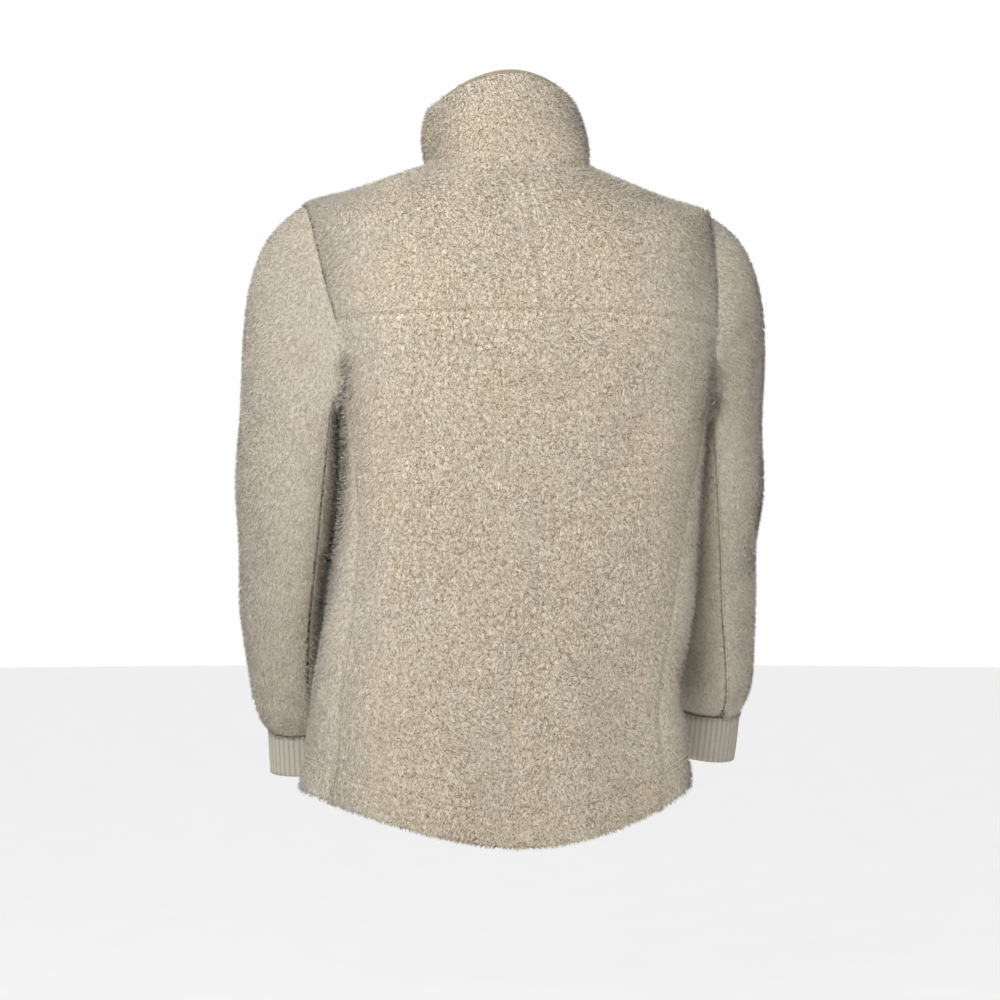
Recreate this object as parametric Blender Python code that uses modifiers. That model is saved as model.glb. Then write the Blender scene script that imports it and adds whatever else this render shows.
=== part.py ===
"""A high-pile fleece jacket, zipped up and worn on a general standing figure, all of it hollow cloth.

The frame is in metres, +Z up. The front faces -Y and the wearer's left is +X, so a viewer who stands
behind the jacket sees +X on the left. The origin is at the base of the neck, between the shoulders,
where the wearer holds the jacket up.

Each cut piece is one closed wall. The body pieces share one surface, torso_point(angle, level), whose
rings run from the hem to the neck. A piece is a patch between its seams on that surface, made thick
inwards, so neighbours meet edge to edge with SEAM_GAP between them. The sleeves leave the same armhole
points and flow into tubes round each arm's own route. The outer side is the tips of the pile.
"""

import math
from collections import namedtuple

import bpy
import numpy as np

# ---------------------------------------------------------------- driving dimensions
PILE_WALL = 0.006  # knitted backing and pile together
HEM_WALL = 0.0085  # the same, turned up on itself
SLEEVE_WALL = 0.0055
COLLAR_WALL = 0.006
FACING_WALL = 0.002  # smooth knit inside the collar
RIB_WALL = 0.0026  # plain inside to the foot of a rib
SEAM_GAP = 0.0003
SEAM_DIP = 0.0018  # how far a seam lies below the pile beside it
HEM_BAND = 0.034  # edge to the stitching of the turned-up hem
STITCH_DIP = 0.0022
SLEEVE_SEAM_DIP = 0.0013

TORSO_COLUMNS = 11  # from the centre back to a side seam
BODY_ROWS = 17  # from the hem's stitching to the armhole
FRONT_COLUMNS = 8  # from the armhole to the zip
SHOULDER_ROWS = 5
NECK_SHOULDER_ANGLE = 94.0  # where the shoulder seam meets the neck
COLLAR_ROWS = 5
CAP_ROWS = 8
SLEEVE_ROWS = 12

# Rings of the torso's outer side, from the hem up: half the width, the place of its widest point, its
# centre-back and centre-front points, how far the jacket hangs off the middle, how narrow the back's drop
# is (the power of the cosine by which it falls away to the sides), and how far its lowest point lies off
# the middle, in degrees.
Ring = namedtuple(
    "Ring",
    "half_width side_y side_z back_y back_z front_y front_z centre_x drop_power drop_lean",
)
TORSO_RINGS = [
    Ring(0.2085, 0.036, -0.653, 0.127, -0.708, -0.118, -0.650, 0.0105, 2.8, -3.0),
    Ring(0.2035, 0.037, -0.612, 0.125, -0.666, -0.120, -0.610, 0.0085, 2.8, -3.0),
    Ring(0.1955, 0.040, -0.556, 0.121, -0.597, -0.122, -0.557, 0.0100, 2.8, -3.0),
    Ring(0.1945, 0.043, -0.492, 0.118, -0.517, -0.125, -0.492, -0.0005, 2.5, -2.0),
    Ring(0.1930, 0.047, -0.428, 0.117, -0.439, -0.127, -0.428, -0.0090, 2.0, 0.0),
    Ring(0.1900, 0.051, -0.364, 0.119, -0.366, -0.128, -0.364, -0.0150, 2.0, 0.0),
    Ring(0.1910, 0.053, -0.304, 0.124, -0.302, -0.129, -0.304, -0.0170, 2.0, 0.0),
    Ring(0.1965, 0.051, -0.252, 0.127, -0.248, -0.128, -0.250, -0.0175, 2.0, 0.0),
    Ring(0.2125, 0.042, -0.195, 0.127, -0.190, -0.124, -0.196, -0.0155, 2.0, 0.0),
    Ring(0.2220, 0.028, -0.134, 0.122, -0.138, -0.117, -0.150, -0.0110, 2.0, 0.0),
    Ring(0.2180, 0.010, -0.050, 0.110, -0.088, -0.107, -0.118, -0.0055, 2.0, 0.0),
    Ring(0.1880, 0.008, -0.040, 0.104, -0.068, -0.102, -0.107, -0.0050, 2.0, 0.0),
    Ring(0.1500, 0.006, -0.028, 0.096, -0.044, -0.095, -0.094, -0.0050, 2.0, 0.0),
    Ring(0.0870, 0.004, -0.003, 0.079, -0.010, -0.083, -0.074, -0.0070, 2.0, 0.0),
]
NECK_LEVEL = len(TORSO_RINGS) - 1
BACK_FULLNESS = 0.07  # how far the corners of a ring stand outside an ellipse
FRONT_FULLNESS = 0.03
HEM_TOP_LEVEL = 1.0  # below it the cloth is turned up on itself
HEM_ROWS = (0.0, 0.42, 0.8, 1.0, 1.22)  # as shares of the hem band's height
STITCH_ROW = HEM_ROWS.index(1.0)

# The armhole on the torso: an oval in angle and level, cut into ARMHOLE_STEPS equal steps from the
# shoulder point to the back, the armpit and the front.
ARMHOLE_STEPS = 20
ARMHOLE_ANGLE = 89.0
ARMHOLE_BACK_REACH = 25.5
ARMHOLE_FRONT_REACH = 31.0
ARMHOLE_LEVEL = 8.40
ARMHOLE_HALF_HEIGHT = 1.58
SHOULDER_STEP = -1  # where the yoke meets the front, just forward of the shoulder point
YOKE_STEP = 5
SIDE_SEAM_STEP = 8
FRONT_SLEEVE_STEP = 13
FRONT_SPLIT_RISE = 0.1  # how much higher the row from the armhole ends at the zip, in levels

YOKE_SEAM_RISE = 0.16  # in levels, at the centre back
YOKE_CENTRE_LEAN = (-0.8, -1.2)  # degrees, at the yoke seam and at the neck
# The side seams, which lie towards the back: their level and each one's angle.
SeamPlace = namedtuple("SeamPlace", "level left right")
SIDE_SEAM = [
    SeamPlace(0.0, 57.5, 46.5),
    SeamPlace(1.5, 56.7, 48.0),
    SeamPlace(3.0, 58.8, 48.8),
    SeamPlace(4.0, 60.6, 49.7),
    SeamPlace(5.0, 65.5, 55.0),
    SeamPlace(5.9, 73.0, 62.5),
    SeamPlace(6.6, 74.5, 69.0),
]
ZIP_EDGE = 0.0095  # from the centre front to the edge of each front
COLLAR_EDGE_EASE = 0.0008  # how much further off the collar's edges stay

# Arms: the middle of each sleeve at its stations, from the upper arm to the end of the cuff.
ARM_ROUTES = {
    "left": [
        (0.220, -0.003, -0.275),
        (0.223, -0.013, -0.345),
        (0.221, -0.034, -0.410),
        (0.218, -0.060, -0.470),
        (0.210, -0.084, -0.525),
        (0.202, -0.101, -0.568),
        (0.196, -0.112, -0.598),
        (0.193, -0.118, -0.646),
    ],
    "right": [
        (-0.244, -0.032, -0.275),
        (-0.246, -0.042, -0.340),
        (-0.248, -0.054, -0.402),
        (-0.249, -0.068, -0.462),
        (-0.254, -0.080, -0.515),
        (-0.255, -0.090, -0.556),
        (-0.255, -0.096, -0.586),
        (-0.252, -0.104, -0.636),
    ],
}
# The sleeve's section at the same stations: half its width, half its depth, and how far its back is
# turned towards the body.
Section = namedtuple("Section", "half_width half_depth turn")
SLEEVE_SECTIONS = [
    Section(0.051, 0.076, 14.0),
    Section(0.054, 0.073, 12.0),
    Section(0.049, 0.068, 9.0),
    Section(0.050, 0.064, 6.0),
    Section(0.047, 0.060, 4.0),
    Section(0.046, 0.056, 2.0),
    Section(0.036, 0.040, 0.0),
    Section(0.033, 0.035, 0.0),
]
CUFF_STATION = 6
# Where a sleeve's back seam lies round the arm, from the outer side towards the back, in degrees: at the
# upper arm and at the cuff.
SLEEVE_SEAM_TURN = {"left": (108.0, 106.0), "right": (93.0, 78.0)}
SLEEVE_CLEARANCE = 0.0030  # between a sleeve and the body it hangs beside
PRESS_BLEND = 0.010  # how near the body a sleeve starts to be pressed flat
SIDE_REACH = (25.0, 165.0)  # the angles of the torso's side that a sleeve can press against
HALVINGS = 18  # steps that find a place on the torso's side
# How a sleeve leaves its armhole, by the angle from the shoulder point: how far it turns away from the
# body's surface (half a turn where it folds down at the armpit), and the lengths that round it.
Head = namedtuple("Head", "around fold leave_length end_length")
SLEEVE_HEAD = [
    Head(0.0, 48.0, 0.275, 0.150),
    Head(45.0, 42.0, 0.210, 0.140),
    Head(90.0, 35.0, 0.095, 0.110),
    Head(135.0, 100.0, 0.036, 0.070),
    Head(180.0, 180.0, 0.028, 0.050),
]

ARMPIT_PINCH = 0.6  # the share of the wall that the armpit presses away
PINCH_FOLD = 90.0  # a sleeve that turns down this far is pinched in full
PINCH_ROWS = 12  # from the armhole down to where the wall is full again
CLEARING_SHARE = 1 / 3  # of the sleeve's head, over which it comes clear of the body
# A sleeve's edge lies flat against the armhole's, and turns with the fold only past this one.
EDGE_TURN_START = 50.0
EDGE_TURN_RANGE = 50.0
HEAD_CROSSING = 0.25  # how much of the way across the arm stays in the direction a sleeve leaves

# Collar: the ring at its top edge, in the same columns as a torso ring.
COLLAR_TOP = Ring(0.0785, -0.012, 0.058, 0.059, 0.090, -0.094, 0.018, -0.003, 2.0, 0.0)
COLLAR_BELLY = 0.004
FACING_RISE = 0.0022  # the facing shows above the collar's pile
CUFF_RIBS = 36
RIB_HEIGHT = 0.0012
CUFF_ROWS = 2
CUFF_GATHER = 0.0024  # how much the sleeve's seam draws the cuff in
COLLAR_EDGE_DIP = 0.0012  # the rounding of the collar's top edge

# Zip
TAPE_THICK = 0.001
TAPE_DEPTH = 0.0034  # below the tips of the pile
CHAIN_HALF_WIDTH = 0.0032
CHAIN_HEIGHT = 0.0024
ZIP_BOTTOM_LEVEL = 0.12
ZIP_ROWS = 26
COLLAR_ZIP_ROWS = 6
COLLAR_ZIP_SHARES = (0.06, 0.99)  # from the neck seam to the collar's top
BOX_SIZE = (0.0105, 0.0046, 0.009)
BOX_RISE = 0.6  # of its height, above the zip's lower end
BOX_ROUNDING = 0.0008
SLIDER_SIZE = (0.0115, 0.0046, 0.013)
SLIDER_ROUNDING = 0.001
CHAIN_END = 0.6  # of the slider's height, below its middle
SLIDER_SHARE = 0.86  # of the collar's height
SLIDER_LIFT = 0.0003
BRIDGE_BAR = 0.0011  # radius of the bow's wire
BRIDGE_REACH = 0.0062  # from the slider's face to the middle of the bow
BRIDGE_HALF_LENGTH = 0.0047
BRIDGE_POINTS = 9
BRIDGE_SQUARE = 0.6  # the power that squares the bow's arch
PULL_WIDTH = 0.0085
PULL_LENGTH = 0.030
PULL_THICK = 0.0016
PULL_STAND = 0.0029  # from the slider's face to the pull's hinge, inside the bow
PULL_RISE = 0.0008
PULL_BAR_HALF = 0.0007  # half the height of the bar that the pull turns on
PULL_WINDOW_FOOT = -0.0070
PULL_WINDOW_HALF = 0.0021
PULL_WAIST = -0.0085  # where the tab starts to narrow, and its foot's share of the full width
PULL_FOOT_SHARE = 0.72

# The largest folds: a line across the cloth, how wide it is, and how far it rises (a trough is below 0).
Crease = namedtuple("Crease", "start end width rise")
CREASE_END_SHARE = 0.65  # a fold's height at its ends, of that at its middle
CREASE_REACH = 3.0  # in widths
CREASES = [
    Crease((0.232, 0.075, -0.180), (0.212, 0.080, -0.262), 0.014, -0.0060),
    Crease((0.262, 0.040, -0.215), (0.240, 0.065, -0.300), 0.018, 0.0030),
    Crease((0.290, -0.020, -0.392), (0.225, 0.020, -0.412), 0.014, -0.0045),
    Crease((0.262, -0.070, -0.520), (0.215, -0.020, -0.530), 0.014, -0.0030),
    Crease((-0.300, -0.040, -0.400), (-0.235, 0.015, -0.385), 0.013, -0.0065),
    Crease((-0.300, -0.045, -0.352), (-0.245, 0.030, -0.345), 0.016, 0.0035),
    Crease((-0.292, -0.080, -0.520), (-0.235, -0.020, -0.505), 0.012, -0.0040),
    Crease((-0.285, -0.090, -0.490), (-0.240, -0.010, -0.478), 0.013, 0.0030),
    Crease((-0.240, 0.070, -0.185), (-0.228, 0.070, -0.262), 0.015, -0.0040),
    Crease((0.150, 0.112, -0.240), (0.060, 0.126, -0.335), 0.020, -0.0028),
    Crease((-0.160, 0.108, -0.235), (-0.085, 0.124, -0.345), 0.022, -0.0030),
    Crease((-0.128, 0.112, -0.700), (-0.112, 0.112, -0.520), 0.026, -0.0042),
    Crease((0.120, 0.112, -0.690), (0.132, 0.110, -0.560), 0.026, -0.0034),
    Crease((-0.050, 0.126, -0.700), (-0.044, 0.120, -0.600), 0.028, 0.0030),
    Crease((0.186, 0.060, -0.640), (0.168, 0.075, -0.540), 0.020, 0.0030),
    Crease((0.120, -0.095, -0.230), (0.050, -0.128, -0.330), 0.024, -0.0036),
    Crease((-0.125, -0.095, -0.235), (-0.060, -0.128, -0.350), 0.022, -0.0030),
    Crease((0.100, -0.105, -0.650), (0.090, -0.112, -0.500), 0.028, -0.0040),
    Crease((-0.090, -0.108, -0.650), (-0.100, -0.110, -0.520), 0.026, -0.0036),
    Crease((0.055, 0.040, 0.060), (0.078, 0.018, 0.012), 0.009, -0.0060),
    Crease((0.074, 0.000, 0.052), (0.088, -0.006, 0.015), 0.010, 0.0034),
    Crease((0.028, 0.064, 0.064), (-0.038, 0.062, 0.060), 0.008, -0.0016),
    Crease((-0.070, -0.040, 0.030), (-0.082, -0.010, 0.000), 0.012, -0.0024),
]

# Small distances over which directions on a surface are measured.
ANGLE_STEP = 0.5
LEVEL_STEP = 0.02
STATION_STEP = 0.05
ROW_STEP = 0.3
ARMHOLE_STEP = 0.1
COLLAR_TIP = 0.9

SHARP_ANGLE = 40.0
GAMMA = 2.2
SAME_WAY = 0.5  # the cosine above which two edges count as one straight border
TINY = 1e-12

# Colours, as sRGB 0 to 1, with roughness and metallic value.
Finish = namedtuple("Finish", "colour roughness metallic")
FINISHES = {
    "pile": Finish((0.77, 0.72, 0.63), 0.95, 0.0),
    "facing": Finish((0.62, 0.56, 0.45), 0.9, 0.0),
    "rib": Finish((0.66, 0.62, 0.55), 0.9, 0.0),
    "tape": Finish((0.66, 0.60, 0.50), 0.85, 0.0),
    "metal": Finish((0.62, 0.60, 0.56), 0.35, 1.0),
}


# ---------------------------------------------------------------- small helpers
def unit(vector):
    return vector / max(np.linalg.norm(vector), TINY)


def smooth_step(value):
    value = min(max(value, 0.0), 1.0)
    return value * value * (3.0 - 2.0 * value)


def row_slope(rows, k):
    """How fast the table's columns change at a row, held low enough that no column overshoots."""
    rise_before = rows[k] - rows[max(k - 1, 0)]
    rise_after = rows[min(k + 1, len(rows) - 1)] - rows[k]
    steepest = 3.0 * np.minimum(abs(rise_before), abs(rise_after))
    level = rise_before * rise_after <= 0.0
    return np.where(level, 0.0, np.clip(0.5 * (rise_before + rise_after), -steepest, steepest))


def spline_row(rows, position):
    """The table's row at a fractional row number, on a smooth curve through its rows."""
    rows = np.array(rows, float)
    step = min(max(int(position), 0), len(rows) - 2)
    return hermite(
        position - step,
        rows[step],
        row_slope(rows, step),
        rows[step + 1],
        row_slope(rows, step + 1),
    )


def hermite(share, start, start_slope, end, end_slope):
    """A point of the curve between two points with the given slopes."""
    square, cube = share**2, share**3
    return (
        (2.0 * cube - 3.0 * square + 1.0) * start
        + (cube - 2.0 * square + share) * start_slope
        + (3.0 * square - 2.0 * cube) * end
        + (cube - square) * end_slope
    )


def along(points, count):
    """count + 1 points at equal steps of length along a polyline, in any number of dimensions."""
    points = np.array(points, float)
    lengths = np.linalg.norm(np.diff(points, axis=0), axis=1)
    marks = np.concatenate([[0.0], np.cumsum(lengths)])
    wanted = np.linspace(0.0, marks[-1], count + 1)
    return np.stack([np.interp(wanted, marks, column) for column in points.T], axis=1)


def crease_rise(point):
    """How far the folds lift a point of the cloth."""
    total = 0.0
    for crease in CREASES:
        start = np.array(crease.start)
        line = np.array(crease.end) - start
        share = np.dot(point - start, line) / np.dot(line, line)
        inside = min(max(share, 0.0), 1.0)
        distance = np.linalg.norm(point - start - inside * line)
        if distance < CREASE_REACH * crease.width:
            swell = CREASE_END_SHARE + (1.0 - CREASE_END_SHARE) * math.sin(math.pi * inside)
            total += crease.rise * swell * math.exp(-((distance / crease.width) ** 2))
    return total


# ---------------------------------------------------------------- the torso's surface
def ring_point(ring, angle):
    """A point of one ring. The angle is in degrees from the centre back towards the wearer's left."""
    turn = math.radians(angle)
    sine, cosine = math.sin(turn), math.cos(turn)
    if cosine > 0.0:
        end_y, end_z, fullness = ring.back_y, ring.back_z, BACK_FULLNESS
    else:
        end_y, end_z, fullness = ring.front_y, ring.front_z, FRONT_FULLNESS
    swell = 1.0 + fullness * math.sin(2.0 * turn) ** 2
    x = ring.centre_x + ring.half_width * sine * swell
    y = ring.side_y + (end_y - ring.side_y) * abs(cosine) * swell
    power, fall = 2.0, cosine
    if cosine > 0.0:
        power, fall = ring.drop_power, math.cos(turn - math.radians(ring.drop_lean) * cosine)
    z = ring.side_z + (end_z - ring.side_z) * abs(fall) ** power
    return np.array([x, y, z])


def torso_point(angle, level):
    return ring_point(Ring(*spline_row(TORSO_RINGS, level)), angle)


def torso_normal(angle, level):
    """The outward direction of the torso's surface."""
    low, high = max(level - LEVEL_STEP, 0.0), min(level + LEVEL_STEP, NECK_LEVEL)
    across = torso_point(angle + ANGLE_STEP, level) - torso_point(angle - ANGLE_STEP, level)
    up = torso_point(angle, high) - torso_point(angle, low)
    return unit(np.cross(up, across))


def torso_reach(y, z, side):
    """How far from the middle plane the torso's side reaches at this depth and height, or None."""
    level = np.interp(z, [ring.side_z for ring in TORSO_RINGS], range(len(TORSO_RINGS)))
    back, front = SIDE_REACH
    if not torso_point(side * front, level)[1] < y < torso_point(side * back, level)[1]:
        return None
    for _ in range(HALVINGS):
        middle = 0.5 * (back + front)
        if torso_point(side * middle, level)[1] > y:
            back = middle
        else:
            front = middle
    return side * torso_point(side * back, level)[0]


def armhole_place(step):
    """Angle and level of a step of the armhole, on the wearer's left."""
    turn = 2.0 * math.pi * step / ARMHOLE_STEPS
    reach = ARMHOLE_BACK_REACH if math.sin(turn) > 0.0 else ARMHOLE_FRONT_REACH
    angle = ARMHOLE_ANGLE - reach * math.sin(turn)
    return angle, ARMHOLE_LEVEL + ARMHOLE_HALF_HEIGHT * math.cos(turn)


def armhole_run(first, last):
    step = 1 if last > first else -1
    return [armhole_place(k) for k in range(first, last + step, step)]


def zip_edge_angle(level):
    half_width = spline_row(TORSO_RINGS, level)[0]
    return 180.0 - math.degrees(math.asin(ZIP_EDGE / half_width))


# ---------------------------------------------------------------- walls
class Cloth:
    """An open net of quads that becomes one closed wall. Each point has its direction towards the
    outside, its thickness, and how far its outer side dips."""

    def __init__(self):
        self.points = []
        self.outward = []
        self.thickness = []
        self.dips = []
        self.quads = []
        self.places = {}

    def add(self, key, point, outward, thickness, dip=0.0):
        if key not in self.places:
            self.places[key] = len(self.points)
            self.points.append(np.array(point, float))
            self.outward.append(unit(np.array(outward, float)))
            self.thickness.append(thickness)
            self.dips.append(dip)
        return self.places[key]

    def add_grid(self, rows):
        """Joins rows of point numbers with quads whose faces look outwards."""
        quads = []
        facing = 0.0
        for low, high in zip(rows, rows[1:]):
            for k in range(len(low) - 1):
                quad = (low[k], low[k + 1], high[k + 1], high[k])
                a, b, c, d = (self.points[place] for place in quad)
                facing += np.dot(np.cross(c - a, d - b), self.outward[quad[0]])
                quads.append(quad)
        self.quads += quads if facing > 0.0 else [quad[::-1] for quad in quads]

    def free_edges(self):
        """The net's border, as pairs of points in the order of the one quad beside each."""
        count = {}
        for quad in self.quads:
            for a, b in zip(quad, quad[1:] + quad[:1]):
                count[frozenset((a, b))] = count.get(frozenset((a, b)), 0) + 1
        edges = []
        for quad in self.quads:
            for a, b in zip(quad, quad[1:] + quad[:1]):
                if count[frozenset((a, b))] == 1:
                    edges.append((a, b))
        return edges

    def edge_shifts(self, edges):
        """How each border point draws back, so that two pieces leave SEAM_GAP between them."""
        pulls = {}
        for a, b in edges:
            for k in (a, b):
                inward = unit(np.cross(self.outward[k], self.points[b] - self.points[a]))
                pulls.setdefault(k, []).append(inward)
        shifts = {}
        for k, found in pulls.items():
            total = sum(found)
            if len(found) == 2 and np.dot(found[0], found[1]) > SAME_WAY:
                total = total / 2.0
            shifts[k] = total * SEAM_GAP / 2.0
        return shifts

    def edge_wall(self, a, b, size):
        """The wall between the two sides along a border edge. Its first corner sets the diagonal that
        splits it, and goes by height, so that the two pieces at a seam are split alike."""
        if self.points[a][2] > self.points[b][2]:
            return (b, a, a + size, b + size)
        return (a, a + size, b + size, b)

    def build(self, name, finish):
        edges = self.free_edges()
        shifts = self.edge_shifts(edges)
        outer, inner = [], []
        for k, point in enumerate(self.points):
            middle = point + shifts.get(k, 0.0)
            outer.append(middle - self.dips[k] * self.outward[k])
            inner.append(middle - self.thickness[k] * self.outward[k])
        size = len(outer)
        faces = list(self.quads)
        faces += [tuple(quad[k] + size for k in (0, 3, 2, 1)) for quad in self.quads]
        faces += [self.edge_wall(a, b, size) for a, b in edges]
        return make_object(name, outer + inner, faces, finish)


def make_object(name, points, faces, finish):
    mesh = bpy.data.meshes.new(name)
    mesh.from_pydata([tuple(point) for point in points], [], faces)
    mesh.validate()
    mesh.shade_smooth()
    mesh.set_sharp_from_angle(angle=math.radians(SHARP_ANGLE))
    obj = bpy.data.objects.new(name, mesh)
    bpy.data.collections["fleece_jacket"].objects.link(obj)
    obj.data.materials.append(make_material(name, FINISHES[finish]))
    return obj


def make_material(name, finish):
    material = bpy.data.materials.new(name)
    material.use_nodes = True
    shader = material.node_tree.nodes["Principled BSDF"]
    linear = [channel**GAMMA for channel in finish.colour]
    shader.inputs["Base Color"].default_value = (*linear, 1.0)
    shader.inputs["Roughness"].default_value = finish.roughness
    shader.inputs["Metallic"].default_value = finish.metallic
    return material


def coons(bottom, top, left, right):
    """A net of angles and levels between four seams: bottom and top run left to right, left and right
    run upwards."""
    bottom, top, left, right = (np.array(side, float) for side in (bottom, top, left, right))
    columns, rows = len(bottom) - 1, len(left) - 1
    net = np.zeros((rows + 1, columns + 1, 2))
    for i in range(rows + 1):
        v = i / rows
        for j in range(columns + 1):
            u = j / columns
            corners = (1 - v) * ((1 - u) * bottom[0] + u * bottom[-1])
            corners += v * ((1 - u) * top[0] + u * top[-1])
            sides = (1 - u) * left[i] + u * right[i]
            net[i, j] = (1 - v) * bottom[j] + v * top[j] + sides - corners
    return net


def body_thickness(level):
    return HEM_WALL if level < HEM_TOP_LEVEL else PILE_WALL


def add_torso_net(cloth, net, side, dipped):
    """Adds a net of angles and levels to a piece. dipped says for a row and column how far it dips."""
    rows = []
    for i, line in enumerate(net):
        row = []
        for j, (angle, level) in enumerate(line):
            key = (round(side * angle, 5), round(level, 5))
            normal = torso_normal(side * angle, level)
            point = torso_point(side * angle, level)
            point = point + crease_rise(point) * normal
            row.append(cloth.add(key, point, normal, body_thickness(level), dipped(i, j)))
        rows.append(row)
    cloth.add_grid(rows)


# ---------------------------------------------------------------- body pieces
def hem_levels(top):
    """Levels from the hem to a level: the edge, the band's swell, its stitching, then even rows."""
    stitch = HEM_BAND / abs(TORSO_RINGS[1].side_z - TORSO_RINGS[0].side_z)
    band = [share * stitch for share in HEM_ROWS]
    return band + list(np.linspace(band[-1], top, BODY_ROWS + 1)[1:])


def side_seam(side):
    """One side seam's places, from the hem to the armhole."""
    end_angle, end_level = armhole_place(SIDE_SEAM_STEP)
    levels = hem_levels(end_level)
    marks = [place.level for place in SIDE_SEAM] + [end_level]
    angles = [place.left if side > 0 else place.right for place in SIDE_SEAM] + [end_angle]
    return list(zip(np.interp(levels, marks, angles), levels))


def yoke_seam(side):
    """From the centre back to the armhole."""
    end_angle, end_level = armhole_place(YOKE_STEP)
    start = side * YOKE_CENTRE_LEAN[0]
    seam = []
    for k in range(TORSO_COLUMNS + 1):
        share = k / TORSO_COLUMNS
        angle = start + (end_angle - start) * share
        seam.append((angle, end_level + YOKE_SEAM_RISE * (1.0 - share**2)))
    return seam


def make_back_panel():
    """One piece from side seam to side seam and from the hem to the yoke."""
    cloth = Cloth()
    for side in (1, -1):
        right = side_seam(side) + armhole_run(SIDE_SEAM_STEP, YOKE_STEP)[1:]
        top = yoke_seam(side)
        bottom = [(right[0][0] * k / TORSO_COLUMNS, 0.0) for k in range(TORSO_COLUMNS + 1)]
        centre_lean = np.linspace(0.0, top[0][0], len(right))
        higher = top[0][1] / right[-1][1]
        levels = [
            level * higher if k >= len(HEM_ROWS) else level for k, (_, level) in enumerate(right)
        ]
        left = list(zip(centre_lean, levels))
        net = coons(bottom, top, left, right)
        last_row, last_column = len(net) - 1, TORSO_COLUMNS

        def dipped(i, j):
            if i == STITCH_ROW:
                return STITCH_DIP
            return SEAM_DIP if i == last_row or j == last_column else 0.0

        add_torso_net(cloth, net, side, dipped)
    cloth.build("back_panel", "pile")


def make_yoke(name, side):
    """Half of the yoke: over the shoulder, from the centre back to just forward of the ridge."""
    shoulder_place = armhole_place(SHOULDER_STEP)
    right = armhole_run(YOKE_STEP, SHOULDER_STEP)
    right += shoulder_seam(shoulder_place)[1:]
    bottom = yoke_seam(side)
    neck_start = side * YOKE_CENTRE_LEAN[1]
    top = [(angle, NECK_LEVEL) for angle in np.linspace(neck_start, right[-1][0], len(bottom))]
    left = list(
        zip(
            np.linspace(bottom[0][0], neck_start, len(right)),
            np.linspace(bottom[0][1], NECK_LEVEL, len(right)),
        )
    )
    net = coons(bottom, top, left, right)
    last_row, last_column = len(net) - 1, len(bottom) - 1

    def dipped(i, j):
        return SEAM_DIP if i in (0, last_row) or j in (0, last_column) else 0.0

    cloth = Cloth()
    add_torso_net(cloth, net, side, dipped)
    cloth.build(name, "pile")


def shoulder_seam(start):
    """From the armhole to the neck."""
    return [tuple(place) for place in along([start, (NECK_SHOULDER_ANGLE, NECK_LEVEL)], SHOULDER_ROWS)]


def make_front(name, side):
    """One front: from the side seam round to the zip, and up past the armhole to the shoulder."""
    cloth = Cloth()
    armpit_run = armhole_run(SIDE_SEAM_STEP, FRONT_SLEEVE_STEP)
    chest_run = armhole_run(FRONT_SLEEVE_STEP, ARMHOLE_STEPS + SHOULDER_STEP)
    start = chest_run[0]
    centre_level = start[1] + FRONT_SPLIT_RISE
    across = list(
        zip(
            np.linspace(start[0], zip_edge_angle(centre_level), FRONT_COLUMNS + 1),
            np.linspace(start[1], centre_level, FRONT_COLUMNS + 1),
        )
    )
    lower_top = armpit_run + across[1:]
    left = side_seam(side)
    columns = len(lower_top) - 1
    bottom = [
        (angle, 0.0) for angle in np.linspace(left[0][0], zip_edge_angle(0.0), columns + 1)
    ]
    levels = hem_levels(centre_level)
    right = [(zip_edge_angle(level), level) for level in levels]
    lower = coons(bottom, lower_top, left, right)
    under_armhole = len(armpit_run) - 1

    def dipped_lower(i, j):
        if i == STITCH_ROW:
            return STITCH_DIP
        seam = j in (0, columns) or (i == len(lower) - 1 and j <= under_armhole)
        return SEAM_DIP if seam else 0.0

    add_torso_net(cloth, lower, side, dipped_lower)

    outer_edge = chest_run + shoulder_seam(chest_run[-1])[1:]
    upper_levels = np.linspace(centre_level, NECK_LEVEL, len(outer_edge))
    zip_side = [(zip_edge_angle(level), level) for level in upper_levels]
    neck = [
        (angle, NECK_LEVEL)
        for angle in np.linspace(outer_edge[-1][0], zip_side[-1][0], FRONT_COLUMNS + 1)
    ]
    upper = coons(across, neck, outer_edge, zip_side)

    def dipped_upper(i, j):
        if i == 0 and 0 < j < FRONT_COLUMNS:
            return 0.0
        return SEAM_DIP if i == len(upper) - 1 or j in (0, FRONT_COLUMNS) else 0.0

    add_torso_net(cloth, upper, side, dipped_upper)
    cloth.build(name, "pile")


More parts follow.
